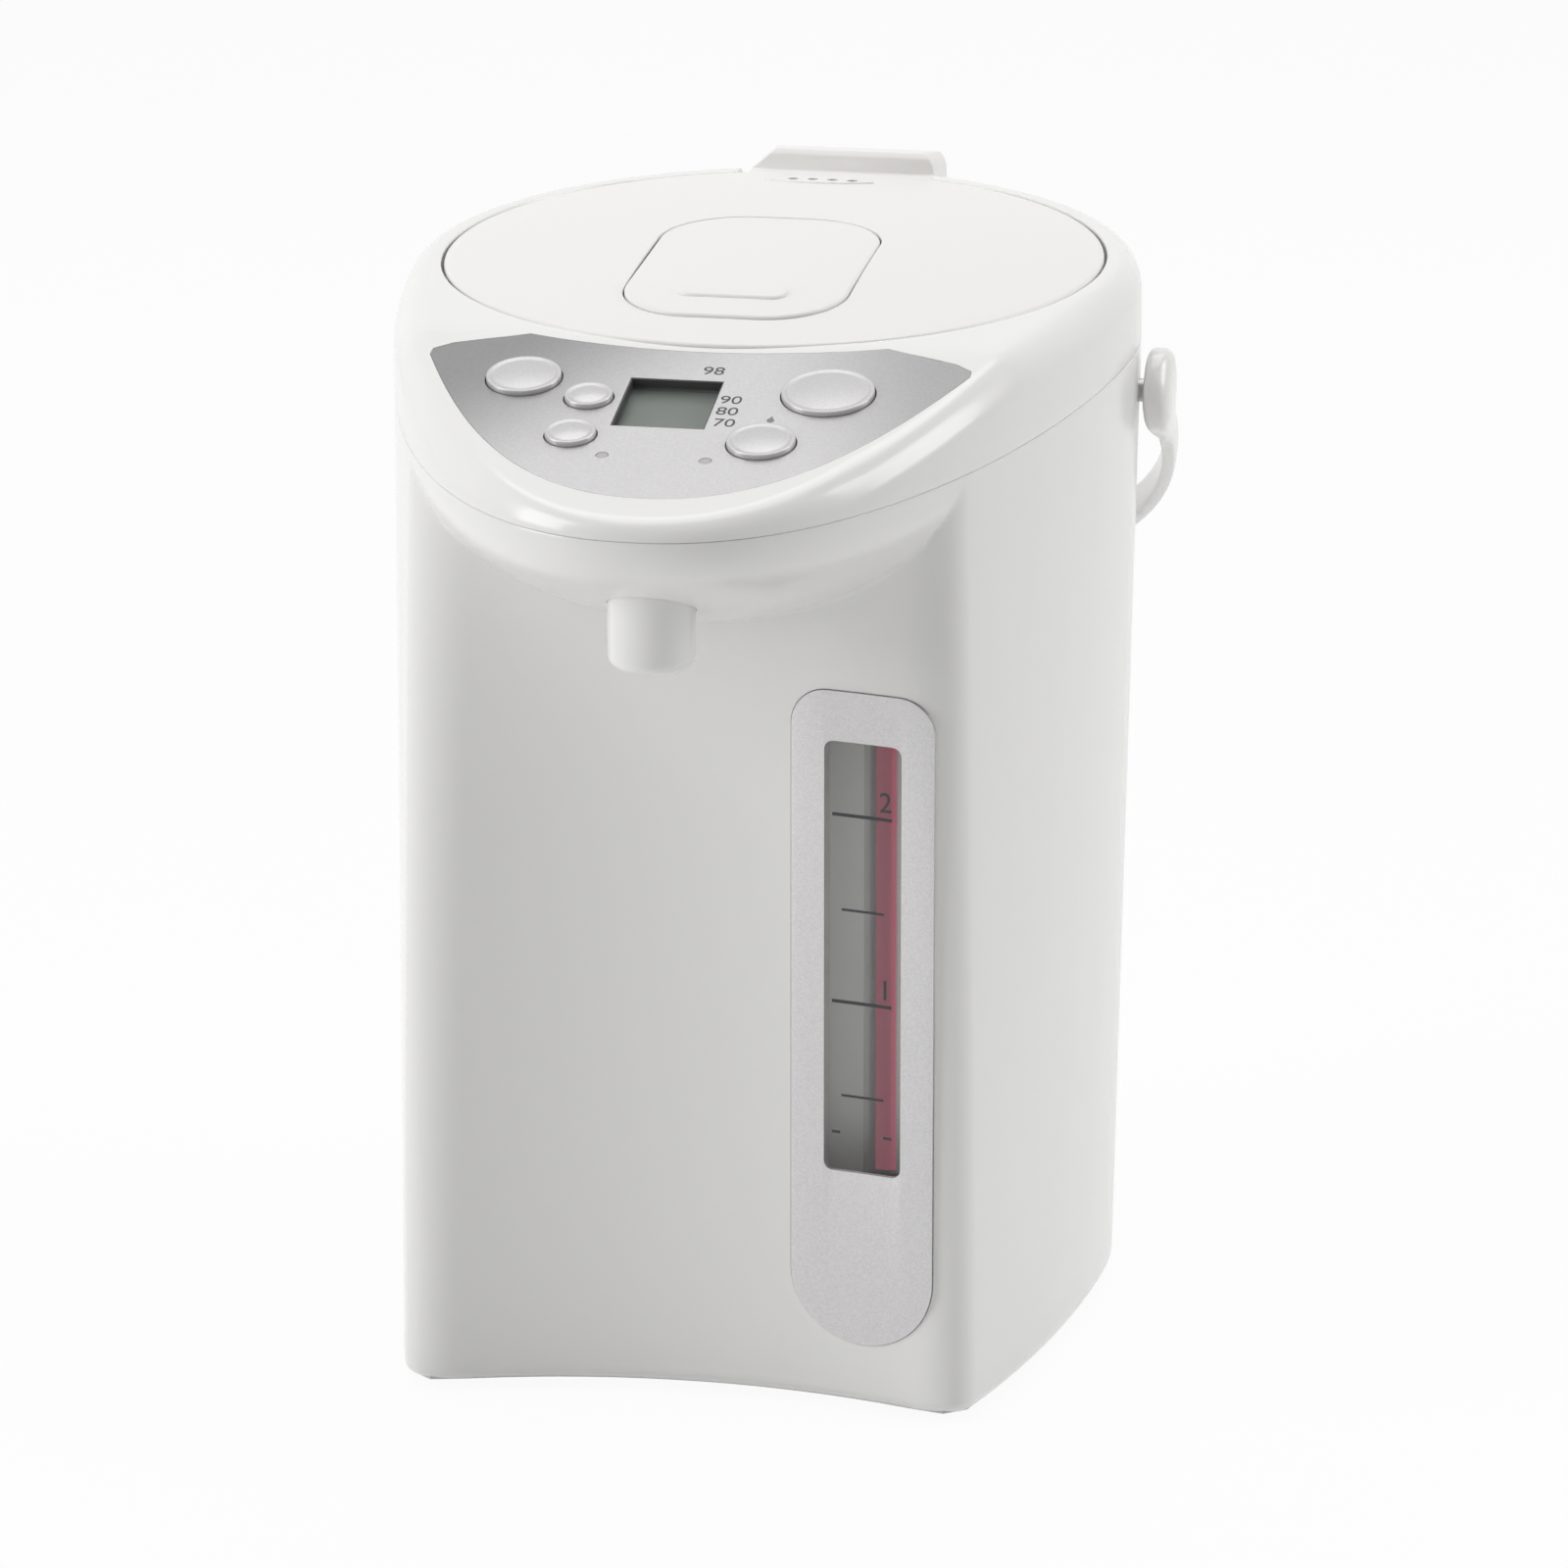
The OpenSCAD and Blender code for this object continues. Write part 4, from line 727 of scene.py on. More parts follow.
# Rings of the casing: from the seam at 0 to the crease at 1, on to the base at 2, and those of the inside.
BOWL_STEPS = [0.06, 0.12, 0.2, 0.28, 0.36, 0.44, 0.52, 0.6, 0.67, 0.74, 0.8, 0.85, 0.89, 0.92, 0.945,
              0.965, 0.98, 0.99]
FRONT_STEPS = [1, 1.002, 1.004, 1.007, 1.011, 1.017, 1.025, 1.04, 1.07, 1.12, 1.2, 1.3, 1.4, 1.5, 1.6,
               1.7, 1.8, 1.88, 1.94]
INNER_STEPS = [0.3, 0.6, 0.85, 1, 1.2, 1.6, 1.96]


def casing_shell():
    c = bpy.context.scene.pot_casing
    angle = all_angles()
    edge = c.base_edge
    arcs = np.radians(np.linspace(0, 90, 8))
    foot = [casing_ring(c, angle, 2, inset=edge * (1 - math.sin(q)), drop=-edge * (1 - math.cos(q))) for q in arcs]
    wall = [casing_ring(c, angle, t) for t in reversed(FRONT_STEPS)]
    bowl = [casing_ring(c, angle, t) for t in reversed(BOWL_STEPS)]
    e = c.seam_edge
    brim = [casing_ring(c, angle, 0, inset=e * i, drop=e * d) for i, d in ((0, 1), (0.3, 0.3), (1, 0))]
    lift = 0.8 * c.wall / c.seam_z
    inner = [casing_ring(c, angle, t, inset=c.wall, lift=lift) for t in INNER_STEPS]
    start = [casing_ring(c, angle, 0, inset=c.wall)]
    end = [casing_ring(c, angle, 2, inset=c.wall + edge)]
    return loft("casing_shell", foot + wall + bowl + brim + start + inner + end)


def bent_plate(name, xs, spans, r_out, r_in, centre_y):
    """A plate bent round the concave front. spans gives, for a place x, its lower and upper heights."""
    def y_at(x, r):
        return -centre_y + math.sqrt(r * r - x * x)
    rings = []
    for x in xs:
        low, high = spans(x)
        outer, inner = y_at(x, r_out), y_at(x, r_in)
        rings.append([(x, outer, low), (x, outer, high), (x, inner, high), (x, inner, low)])
    return loft(name, rings, ends="caps")


def surround_span(g, grow):
    """Lower and upper height of the gauge's surround at a place x: a half round foot and two rounded corners."""
    half = g.gauge_w / 2

    def span(x):
        u = min(abs(x - g.gauge_x), half + grow)
        low = g.gauge_z0 + half - math.sqrt(max((half + grow) ** 2 - u * u, 0))
        side = max(u - (half - g.gauge_corner), 0)
        high = g.gauge_z1 - g.gauge_corner + math.sqrt(max((g.gauge_corner + grow) ** 2 - side * side, 0))
        return low, high
    return span


def rounded_span(middle, half, low, high, corner):
    """Lower and upper height of an upright rounded rectangle at a place x."""
    def span(x):
        side = min(max(abs(x - middle) - (half - corner), 0), corner)
        lift = corner - math.sqrt(corner * corner - side * side)
        return low + lift, high - lift
    return span


def across(x0, x1, count):
    """Places from x0 to x1, closer together at the ends."""
    return [x0 + (x1 - x0) * (1 - math.cos(math.pi * i / count)) / 2 for i in range(count + 1)]


SOCKET_W = 31 * MM
SOCKET_H = 17 * MM
SOCKET_Z = 31 * MM
HINGE_NOTCH = 51.6 * MM
HINGE_BARREL = 9 * MM


class POT_OT_casing(bpy.types.Operator):
    """Builds the outer casing with its concave front and the bowl under the beak"""
    bl_idname = "pot.casing"
    bl_label = "Casing"

    def execute(self, context):
        c, g = settings("casing", "gauge")
        shell = casing_shell()
        clearance = 0.22 * MM
        half = g.gauge_w / 2 + clearance
        centre = c.front_y + c.front_r
        pocket = bent_plate("pocket", across(g.gauge_x - half, g.gauge_x + half, 48), surround_span(g, clearance),
                            c.front_r - 8 * MM, c.front_r + g.surround_t + 0.05 * MM, centre)
        combine(shell, pocket)
        room = 1.3 * MM
        combine(shell, box("window_hole", (g.gauge_x - g.window_w / 2 - room, -0.13, g.window_z0 - room),
                           (g.gauge_x + g.window_w / 2 + room, -0.08, g.window_z1 + room)))
        hole = moved(rod("nozzle_hole", g.spout_r + 0.15 * MM, 0.05, 96), Matrix.Translation((0, -g.spout_y, 0.19)))
        combine(shell, hole)
        combine(shell, box("socket_hole", (-SOCKET_W / 2 - 0.2 * MM, 0.06, SOCKET_Z - SOCKET_H / 2 - 0.2 * MM),
                           (SOCKET_W / 2 + 0.2 * MM, 0.1, SOCKET_Z + SOCKET_H / 2 + 0.2 * MM)))
        finished(shell, "casing", "casing_white", casing_white(), "outer_body")
        return {"FINISHED"}


def collar_rings(c, l, p):
    angle = all_angles()
    body = casing_radius(c, angle, 0.0)
    hole = l.lid_r + l.gap

    def top(radius):
        return top_height(l, p, -radius * np.cos(angle))
    seam = seam_height(c, -body * np.cos(angle))
    roll = np.minimum(c.roll_r, top(body) - seam - 0.6 * MM)
    width = np.minimum(roll, body - (l.lid_r + 2.2 * MM) - 1 * MM)
    e = c.seam_edge
    rings = [around(angle, body - i * e, seam_height(c, -(body - i * e) * np.cos(angle)) + d * e)
             for i, d in ((1, 0.05), (0.3, 0.3), (0, 1))]
    for share_up in (0.35, 0.7):
        rings.append(around(angle, body, seam + e + (top(body) - roll - seam - e) * share_up))
    for q in np.radians(np.linspace(0, 90, 15)):
        radius = body - width * (1 - math.cos(q))
        rings.append(around(angle, radius, top(radius) - roll * (1 - math.sin(q))))
    inner_end = body - width
    rim = hole + 0.7 * MM
    for q in np.linspace(0, 1, 26)[1:]:
        radius = inner_end + (rim - inner_end) * q
        rings.append(around(angle, radius, top(radius)))
    for grow, drop in ((0.2, 0.12), (0.05, 0.32), (0, 0.65)):
        radius = np.full_like(angle, hole + grow * MM)
        rings.append(around(angle, radius, top(radius) - drop * MM))
    place = lid_place(l)
    for radius, z in ((hole, -5.2 * MM), (82.4 * MM, -5.2 * MM), (80 * MM, -27 * MM), (74 * MM, -27 * MM),
                      (74 * MM, -34 * MM), (87 * MM, -34 * MM), (87 * MM, -11 * MM)):
        flat = np.full_like(angle, radius)
        rings.append(turned(around(angle, flat, np.full_like(angle, z)), place))
    under = body - c.wall
    for q in (0.0, 0.35, 0.7):
        radius = 87.6 * MM + (under - 87.6 * MM) * q
        rings.append(around(angle, radius, top(radius) - np.maximum(4 * MM, roll * q)))
    rings.append(around(angle, under, top(under) - roll - 1 * MM))
    rings.append(around(angle, under, seam_height(c, -under * np.cos(angle)) + 0.05 * MM))
    return rings


def panel_outline(c, l, p, grow):
    """Outline of the control panel in its own plane: a curved front, two cut corners and a shallow rear edge."""
    tip = math.radians(35.6)
    points = []
    for i in range(-24, 25):
        a = np.array([tip * i / 24])
        r = egg_radius(a, c.collar_r, c.beak_reach, SEAM_POWER)[0] - 12.5 * MM + 4 * MM * (i / 24) ** 2 + grow
        points.append((r * math.sin(a[0]), on_panel(l, p, -r * math.cos(a[0]))))
    corners = [(66.6, -90.6), (62.3, -87.4), (52.3, -83.8)]
    points += [(x * MM + grow, on_panel(l, p, y * MM) + grow) for x, y in corners]
    for i in range(-12, 13):
        x = -44.5 * i / 12
        points.append((x * MM, on_panel(l, p, (0.003 * x * x - 3.4) * MM - l.lid_r) + grow))
    points += [(-x * MM - grow, on_panel(l, p, y * MM) + grow) for x, y in reversed(corners)]
    return points


# Sideways place, distance and radius of each button, and places of the two lenses, in millimetres.
BUTTONS = {"energy_button": (-41, -103.5, 9.2), "reboil_button": (-23.1, -111.8, 5.9),
           "temp_button": (-23.5, -130.3, 6.2), "dispense_button": (34.4, -105.2, 11.3),
           "unlock_button": (23, -130.4, 8.3)}
LENSES = ((-13.8, -139.3), (11.4, -139.9))


def panel_holes(l, p, depth):
    """Cutters for the buttons, the screen and the two lenses, in the panel's own plane."""
    for x, y, r in BUTTONS.values():
        yield moved(rod("hole", r * MM + p.travel_gap, 2 * depth),
                    Matrix.Translation((x * MM, on_panel(l, p, y * MM), -depth)))
    yield box("hole", (p.screen_x0, on_panel(l, p, p.screen_y0), -depth),
              (p.screen_x1, on_panel(l, p, p.screen_y1), depth))
    for x, y in LENSES:
        yield moved(rod("hole", p.lens_r + 0.1 * MM, 2 * depth, 32),
                    Matrix.Translation((x * MM, on_panel(l, p, y * MM), -depth)))


class POT_OT_collar(bpy.types.Operator):
    """Builds the collar with the beak, its rolled edge, the lid's seat and the hinge cheeks"""
    bl_idname = "pot.collar"
    bl_label = "Collar"

    def execute(self, context):
        c, l, p = settings("casing", "lid", "panel")
        collar = loft("collar_shell", collar_rings(c, l, p))
        place = panel_place(l, p)
        combine(collar, moved(prism("recess", panel_outline(c, l, p, 0.15 * MM), -p.panel_t, 12 * MM), place))
        for hole in panel_holes(l, p, 14 * MM):
            combine(collar, moved(hole, place))
        notch = box("notch", (-HINGE_NOTCH / 2, 0.076, l.hinge_z + 0.5 * MM),
                    (HINGE_NOTCH / 2, 0.13, l.hinge_z + 0.04))
        combine(collar, notch)
        axis = Matrix.Translation((-HINGE_NOTCH / 2, l.hinge_y, l.hinge_z)) @ Matrix.Rotation(math.pi / 2, 4, "Y")
        combine(collar, moved(rod("barrel_room", HINGE_BARREL + 0.8 * MM, HINGE_NOTCH), axis))
        finished(collar, "casing", "casing_white", casing_white(), "upper_collar")
        cheek = 6.2 * MM
        profile = [(0.084, -cheek), (0.084, cheek)]
        turn = np.radians(np.linspace(90, -90, 17))
        profile += [(l.hinge_y + cheek * math.cos(q), cheek * math.sin(q)) for q in turn]
        for side in (-1, 1):
            lug = prism("cheek", profile, 0, 7.2 * MM)
            stand = Matrix(((0, 0, 1, HINGE_NOTCH / 2 if side > 0 else -HINGE_NOTCH / 2 - 7.2 * MM),
                            (1, 0, 0, 0), (0, 1, 0, l.hinge_z), (0, 0, 0, 1)))
            bevelled(moved(lug, stand), 0.8 * MM)
            lug.name = "hinge_cheek_" + ("right" if side > 0 else "left")
            finished(lug, "casing", "casing_white", casing_white())
        return {"FINISHED"}


# ---------------------------------------------------------------- control panel

class POT_OT_panel(bpy.types.Operator):
    """Builds the silver control panel with its printed numbers, the screen and the lenses"""
    bl_idname = "pot.panel"
    bl_label = "Control panel"

    def execute(self, context):
        c, l, p = settings("casing", "lid", "panel")
        place = panel_place(l, p)
        film = prism("control_film", panel_outline(c, l, p, 0), -p.panel_t, 0)
        for hole in panel_holes(l, p, 4 * MM):
            combine(film, hole)
        bevelled(film, 0.12 * MM, 2, 50)
        finished(moved(film, place), "casing", "panel_silver", silver_film(), "control_panel", sharp=12)

        y0, y1 = on_panel(l, p, p.screen_y0), on_panel(l, p, p.screen_y1)
        frame_wall = 0.35 * MM
        # The sleeve's near-black walls round the screen are painted shade of the deep recess.
        sleeve = box("screen_sleeve", (p.screen_x0, y0, -3.3 * MM), (p.screen_x1, y1, -0.25 * MM))
        combine(sleeve, box("hole", (p.screen_x0 + frame_wall, y0 + frame_wall, -0.01),
                            (p.screen_x1 - frame_wall, y1 - frame_wall, 0.01)))
        dark = moulded("sleeve_painted_shade", (0.05, 0.05, 0.05), roughness=0.5, scale=60, unevenness=0.05)
        finished(moved(sleeve, place), "casing", "dark_plastic", dark)
        inset = frame_wall + 0.05 * MM
        pane = box("screen_pane", (p.screen_x0 + inset, y0 + inset, -3.2 * MM),
                   (p.screen_x1 - inset, y1 - inset, -2.4 * MM))
        bevelled(pane, 0.15 * MM, 2)
        glass = clear("screen_clear", alpha=0.05, roughness=0.04)
        finished(moved(pane, place), "casing", "clear", glass, "lcd_window")

        for i, (x, y) in enumerate(LENSES):
            lens = lathe("lens", [(0, -5.2 * MM), (p.lens_r, -5.2 * MM), (p.lens_r, -0.1 * MM),
                                  (0.8 * p.lens_r, 0.05 * MM), (0, 0.12 * MM)], 48)
            moved(lens, place @ Matrix.Translation((x * MM, on_panel(l, p, y * MM), 0)))
            lens.name = "indicator_lens_" + str(i + 1)
            smoke = moulded("lens_smoke", (0.47, 0.44, 0.46), roughness=0.25, scale=80)
            finished(lens, "casing", "lens_grey", smoke, *(("indicator_lenses",) if i == 0 else ()))

        thin = 0.08 * MM
        numbers = {"98": (4.4, -96), "90": (11.5, -110), "80": (11.7, -115.6), "70": (12.1, -121.3)}
        for words, (x, y) in numbers.items():
            at = place @ Matrix.Translation((x * MM, on_panel(l, p, y * MM), 0)) @ Matrix.Diagonal((1.02, 1, 1, 1))
            digit = text_mesh("panel_number_" + words, words, 5.5 * MM, at, thin)
            finished(digit, "casing", "dark_plastic", ink())
        drop = [(0, 1.9), (0.35, 0.8), (0.85, 0.0), (0.95, -0.6), (0.6, -1.25), (0, -1.5),
                (-0.6, -1.25), (-0.95, -0.6), (-0.85, 0.0), (-0.35, 0.8)]
        mark = prism("drop_mark", [(x * MM, y * MM) for x, y in drop], 0, thin / 2)
        moved(mark, place @ Matrix.Translation((23 * MM, on_panel(l, p, -118.6 * MM), 0)))
        finished(mark, "casing", "lens_grey", moulded("mark_grey", (0.2, 0.2, 0.21), roughness=0.5))
        return {"FINISHED"}


class POT_OT_buttons(bpy.types.Operator):
    """Builds the five domed pearl buttons with their raised rims"""
    bl_idname = "pot.buttons"
    bl_label = "Buttons"

    def execute(self, context):
        l, p = settings("lid", "panel")
        for name, (x, y, r) in BUTTONS.items():
            flange = [(0, -5.9), (r + 1.2, -5.9), (r + 1.2, -3.1), (r, -3.1), (r, 0.7)]
            rim = [(r - 0.25 + 0.25 * math.cos(q), 0.7 + 0.6 * math.sin(q)) for q in np.radians((20, 45, 70, 90))]
            rim += [(r - 0.7, 1.3), (r - 1.05, 1.22), (r - 1.3, 1.05), (r - 1.5, 1.0)]
            crown = [((r - 1.5) * k, 1.0 + 0.6 * (1 - k * k)) for k in np.linspace(1, 0, 14)[1:]]
            cap = lathe(name + "_cap", [(a * MM, b * MM) for a, b in flange + rim + crown], 96)
            moved(cap, panel_place(l, p) @ Matrix.Translation((x * MM, on_panel(l, p, y * MM), 0)))
            finished(cap, name, "button_pearl", pearl(), name, sharp=50)
        return {"FINISHED"}


# ---------------------------------------------------------------- gauge and nozzle

class POT_OT_gauge(bpy.types.Operator):
    """Builds the water gauge: silver surround, clear window and its printed marks"""
    bl_idname = "pot.gauge"
    bl_label = "Water gauge"

    def execute(self, context):
        c, g = settings("casing", "gauge")
        centre = c.front_y + c.front_r
        half = g.gauge_w / 2
        outer = c.front_r - g.proud
        surround = bent_plate("gauge_surround", across(g.gauge_x - half, g.gauge_x + half, 48), surround_span(g, 0),
                              outer, c.front_r + g.surround_t, centre)
        window_half = g.window_w / 2
        corner = 2.3 * MM
        turn = [(sx, sz, q) for sx, sz, q0 in ((1, -1, -90), (1, 1, 0), (-1, 1, 90), (-1, -1, 180))
                for q in range(q0, q0 + 91, 15)]
        opening = [(g.gauge_x + sx * (window_half - corner) + corner * math.cos(math.radians(q)),
                    (g.window_z1 if sz > 0 else g.window_z0) - sz * corner + corner * math.sin(math.radians(q)))
                   for sx, sz, q in turn]
        upright = Matrix(((1, 0, 0, 0), (0, 0, -1, 0), (0, 1, 0, 0), (0, 0, 0, 1)))
        combine(surround, moved(prism("window_cut", opening, 0.09, 0.13), upright))
        bevelled(surround, 0.25 * MM, 3, 50)
        finished(surround, "casing", "gauge_silver", silver_surround(), "gauge_trim", sharp=30)

        gap = 0.05 * MM
        window = bent_plate("gauge_pane", across(g.gauge_x - window_half + gap, g.gauge_x + window_half - gap, 24),
                            rounded_span(g.gauge_x, window_half - gap, g.window_z0 + gap, g.window_z1 - gap, corner),
                            c.front_r - 0.2 * MM, c.front_r + 0.8 * MM, centre)
        finished(window, "casing", "clear", clear("gauge_clear", alpha=0.035, roughness=0.05), "gauge_window")

        face = c.front_r - 0.22 * MM
        marks = {"two_litres": (36, 51.5, 153.5, 0.42), "one_and_a_half": (38.5, 49.5, 129.5, 0.3),
                 "one_litre": (36, 51.5, 106, 0.42), "half_litre": (38.5, 49.5, 82, 0.3),
                 "refill_left": (36, 38.2, 72.4, 0.35), "refill_right": (49.4, 51.6, 72.4, 0.35)}
        for name, (x0, x1, z, thick) in marks.items():
            mark = bent_plate("gauge_mark_" + name, np.linspace(x0 * MM, x1 * MM, 8),
                              lambda x: ((z - thick) * MM, (z + thick) * MM), face, face + 0.1 * MM, centre)
            finished(mark, "casing", "dark_plastic", ink())
        for words, (x, z) in {"1": (49.8, 110), "2": (49.8, 157.5)}.items():
            digit = text_mesh("gauge_number_" + words, words, 7.2 * MM,
                              upright_at(x * MM, z * MM), 0.1 * MM)
            for v in digit.data.vertices:
                v.co.y += -centre + math.sqrt(face * face - v.co.x * v.co.x)
            finished(digit, "casing", "dark_plastic", ink())
        return {"FINISHED"}


def upright_at(x, z):
    """Text plane that faces -Y, at a place on the front."""
    return Matrix.Translation((x, 0, z)) @ Matrix.Rotation(math.pi / 2, 4, "X")


class POT_OT_nozzle(bpy.types.Operator):
    """Builds the nozzle with its rounded lower edge and its bore"""
    bl_idname = "pot.nozzle"
    bl_label = "Nozzle"

    def execute(self, context):
        g = context.scene.pot_gauge
        r, z, edge = g.spout_r, g.spout_z, 3.2 * MM
        outline = [(g.bore_r, z + 0.5 * MM), (g.bore_r + 0.15 * MM, z + 0.15 * MM), (g.bore_r + 0.5 * MM, z)]
        outline += [(r - edge + edge * math.sin(q), z + edge - edge * math.cos(q))
                    for q in np.radians(np.linspace(0, 90, 13))]
        outline += [(r, 222 * MM), (6.5 * MM, 222 * MM), (6.5 * MM, 227 * MM), (g.bore_r, 227 * MM)]
        nozzle = moved(lathe("nozzle", outline, 128), Matrix.Translation((0, -g.spout_y, 0)))
        finished(nozzle, "casing", "casing_white", casing_white(), "spout_nozzle", sharp=50)
        return {"FINISHED"}


# ---------------------------------------------------------------- lid

def dome_height(l, r):
    radius = (l.lid_r ** 2 + l.dome_h ** 2) / (2 * l.dome_h)
    return l.dome_h - radius + math.sqrt(radius * radius - r * r)


def lever_outline(l, grow, steps=12):
    """Rounded rectangle of the lever, grown all round."""
    half, corner = l.lever_half, l.lever_corner
    middle = (l.lever_back - l.lever_front) / 2
    reach = (l.lever_back + l.lever_front) / 2
    points = []
    for sx, sy, start in ((1, -1, -90), (1, 1, 0), (-1, 1, 90), (-1, -1, 180)):
        for i in range(steps + 1):
            q = math.radians(start + 90 * i / steps)
            points.append((sx * (half - corner) + (corner + grow) * math.cos(q),
                           middle + sy * (reach - corner) + (corner + grow) * math.sin(q)))
    return np.array(points)


def pillow(name, outline_at, height_at, depth, edge, floor):
    """A plate with a rounded upper edge. outline_at(inset) gives its outline, height_at(x, y) its upper surface."""
    def ring(points, drop):
        return [(x, y, height_at(x, y) - drop) for x, y in points]
    outer = outline_at(0)
    rings = [[(x, y, floor(x, y)) for x, y in outer]]
    rings.append(ring(outer, depth))
    for q in np.radians(np.linspace(0, 90, 7)):
        rings.append(ring(outline_at(edge * (1 - math.cos(q))), edge * (1 - math.sin(q))))
    core = outline_at(edge)
    middle = core.mean(0)
    for k in (0.93, 0.84, 0.72, 0.58, 0.42, 0.24, 0.0):
        rings.append(ring(middle + (core - middle) * k, 0))
    rings.append([(middle[0], middle[1], floor(middle[0], middle[1]))] * len(outer))
    return loft(name, rings)


VENTS = (-7.8, -2.6, 2.6, 7.8)
VENT_R = 1.5 * MM


class POT_OT_lid(bpy.types.Operator):
    """Builds the lid's domed cover with the lever's well and the steam holes"""
    bl_idname = "pot.lid"
    bl_label = "Lid"

    def execute(self, context):
        l = context.scene.pot_lid
        radii = list(np.linspace(0, l.lid_r - 1.2 * MM, 42))
        upper = [(r, dome_height(l, r)) for r in radii]
        brink = l.lid_r - 0.55 * MM
        rim = [(brink, dome_height(l, brink) - 0.05 * MM), (l.lid_r - 0.15 * MM, -0.35 * MM),
               (l.lid_r, -0.8 * MM), (l.lid_r, -1 * MM), (l.lid_r - 2 * MM, -3.6 * MM), (79 * MM, -3.6 * MM),
               (79 * MM, -16 * MM), (77 * MM, -16 * MM), (77 * MM, -3.6 * MM)]
        lower = [(r, dome_height(l, r) - l.thickness) for r in reversed(radii[:-1])]
        cover = lathe("lid_shell", upper + rim + lower, 180)

        well_low = -6.5 * MM
        well = prism("lid_well", lever_outline(l, l.lever_gap + 1.6 * MM), well_low, 6 * MM)
        cap_r, cap_floor = 0.081, -0.02
        cap = lathe("cap", [(0, cap_floor), (cap_r, cap_floor)]
                    + [(r, dome_height(l, r) - 0.9 * MM) for r in np.linspace(cap_r, 0, 20)], 96)
        combine(well, cap, "INTERSECT")
        combine(well, prism("room", lever_outline(l, l.lever_gap), well_low + 1.6 * MM, 0.03))
        combine(cover, prism("hole", lever_outline(l, l.lever_gap), well_low - 0.01, 0.03))
        bevelled(cover, 0.3 * MM, 2, 55)

        place = lid_place(l)
        pad_half, pad_w = 14.5 * MM, 9 * MM
        bow = (pad_half ** 2 + (pad_w / 2) ** 2) / pad_w

        def lens(inset):
            spread = math.asin((pad_half - inset) / bow)
            arc = np.linspace(-spread, spread, 17)[:-1]
            rise = bow * math.cos(spread)
            lift = [(bow * math.sin(q) - 1 * MM, l.vent_y + (bow * math.cos(q) - rise)) for q in arc]
            return np.array([(x, 2 * l.vent_y - y) for x, y in lift] + [(-2 * MM - x, y) for x, y in lift])
        pad = pillow("vent_pad", lens, lambda x, y: dome_height(l, math.hypot(x, y)) + 0.45 * MM, 0.3 * MM, 0.3 * MM,
                     lambda x, y: dome_height(l, math.hypot(x, y)) - 0.6 * MM)
        for obj in (cover, pad):
            for x in VENTS:
                hole = rod("hole", VENT_R, 0.03, 32)
                combine(obj, moved(hole, Matrix.Translation((x * MM, l.vent_y, -0.01))))
        finished(moved(cover, place), "lid", "lid_white", lid_white(), "lid_cover")
        finished(moved(pad, place), "lid", "lid_white", lid_white())
        finished(moved(well, place), "lid", "lid_white", lid_white())

        def dome(x, y):
            return dome_height(l, math.hypot(x, y))
        lever = pillow("lever_plate", lambda inset: lever_outline(l, -inset),
                       lambda x, y: dome(x, y) + l.lever_rise * smooth_step(-y, 0, l.lever_front),
                       1.2 * MM, 0.8 * MM, lambda x, y: dome(x, y) - 2.2 * MM)
        grip_y, grip_half, grip_w = -52 * MM, 10 * MM, 3.9 * MM

        def pill(inset):
            q = np.radians(np.linspace(-90, 90, 13))
            right = [(grip_half + (grip_w - inset) * math.cos(a), grip_y + (grip_w - inset) * math.sin(a)) for a in q]
            return np.array(right + [(-x, 2 * grip_y - y) for x, y in right])
        grip = pillow("grip", pill, lambda x, y: dome(x, y) + l.lever_rise + 0.85 * MM,
                      0.8 * MM, 0.8 * MM, lambda x, y: dome(x, y) - 0.5 * MM)
        joined(lever, grip)
        finished(moved(lever, place), "release_lever", "lid_white", lid_white(), "release_lever")
        return {"FINISHED"}


def smooth_step(value, low, high):
    t = min(max((value - low) / (high - low), 0), 1)
    return t * t * (3 - 2 * t)


class POT_OT_hinge(bpy.types.Operator):
    """Builds the lid's hinge block with its chamfered left end and rounded right end"""
    bl_idname = "pot.hinge"
    bl_label = "Hinge block"

    def execute(self, context):
        l = context.scene.pot_lid
        y, z, half = l.hinge_y, l.hinge_z, 24.4 * MM
        barrel = HINGE_BARREL

        def at(dy, dz):
            return (y + dy * MM, z + dz * MM)
        profile = [at(-33, 1.8), at(-33, 7.6), (l.lid_r + 0.8 * MM, z + 7.6 * MM),
                   (l.lid_r + 0.8 * MM, z + 10.5 * MM), at(-11.5, 11), at(-11.5, 15), at(-10.5, 16.5),
                   at(3, 14.5), at(7.5, 10)]
        profile += [(y + barrel * math.cos(q), z + barrel * math.sin(q))
                    for q in np.radians(np.arange(20, -181, -10))]
        block = prism("hinge_hump", profile, -half, half)
        moved(block, Matrix(((0, 0, 1, 0), (1, 0, 0, 0), (0, 1, 0, 0), (0, 0, 0, 1))))
        ends = [(-half, z - 20 * MM), (half, z - 20 * MM)]
        ends += [(half - 3.8 * MM * (1 - math.cos(q)), z + (10.7 + 5.7 * math.sin(q)) * MM)
                 for q in np.radians(range(0, 91, 15))]
        ends += [(-half + 6.5 * MM, z + 16.4 * MM), (-half, z + 11 * MM)]
        trim = prism("trim", ends, 0, 0.1)
        moved(trim, Matrix(((1, 0, 0, 0), (0, 0, 1, 0.05), (0, 1, 0, 0), (0, 0, 0, 1))))
        combine(block, trim, "INTERSECT")
        bevelled(block, 0.8 * MM, 3, 28)
        axis = Matrix.Translation((-0.04, y, z)) @ Matrix.Rotation(math.pi / 2, 4, "Y")
        combine(block, moved(rod("pin_hole", 2.55 * MM, 0.08, 48), axis))
        finished(block, "lid", "lid_white", lid_white(), "lid_hinge_block", sharp=32)
        return {"FINISHED"}


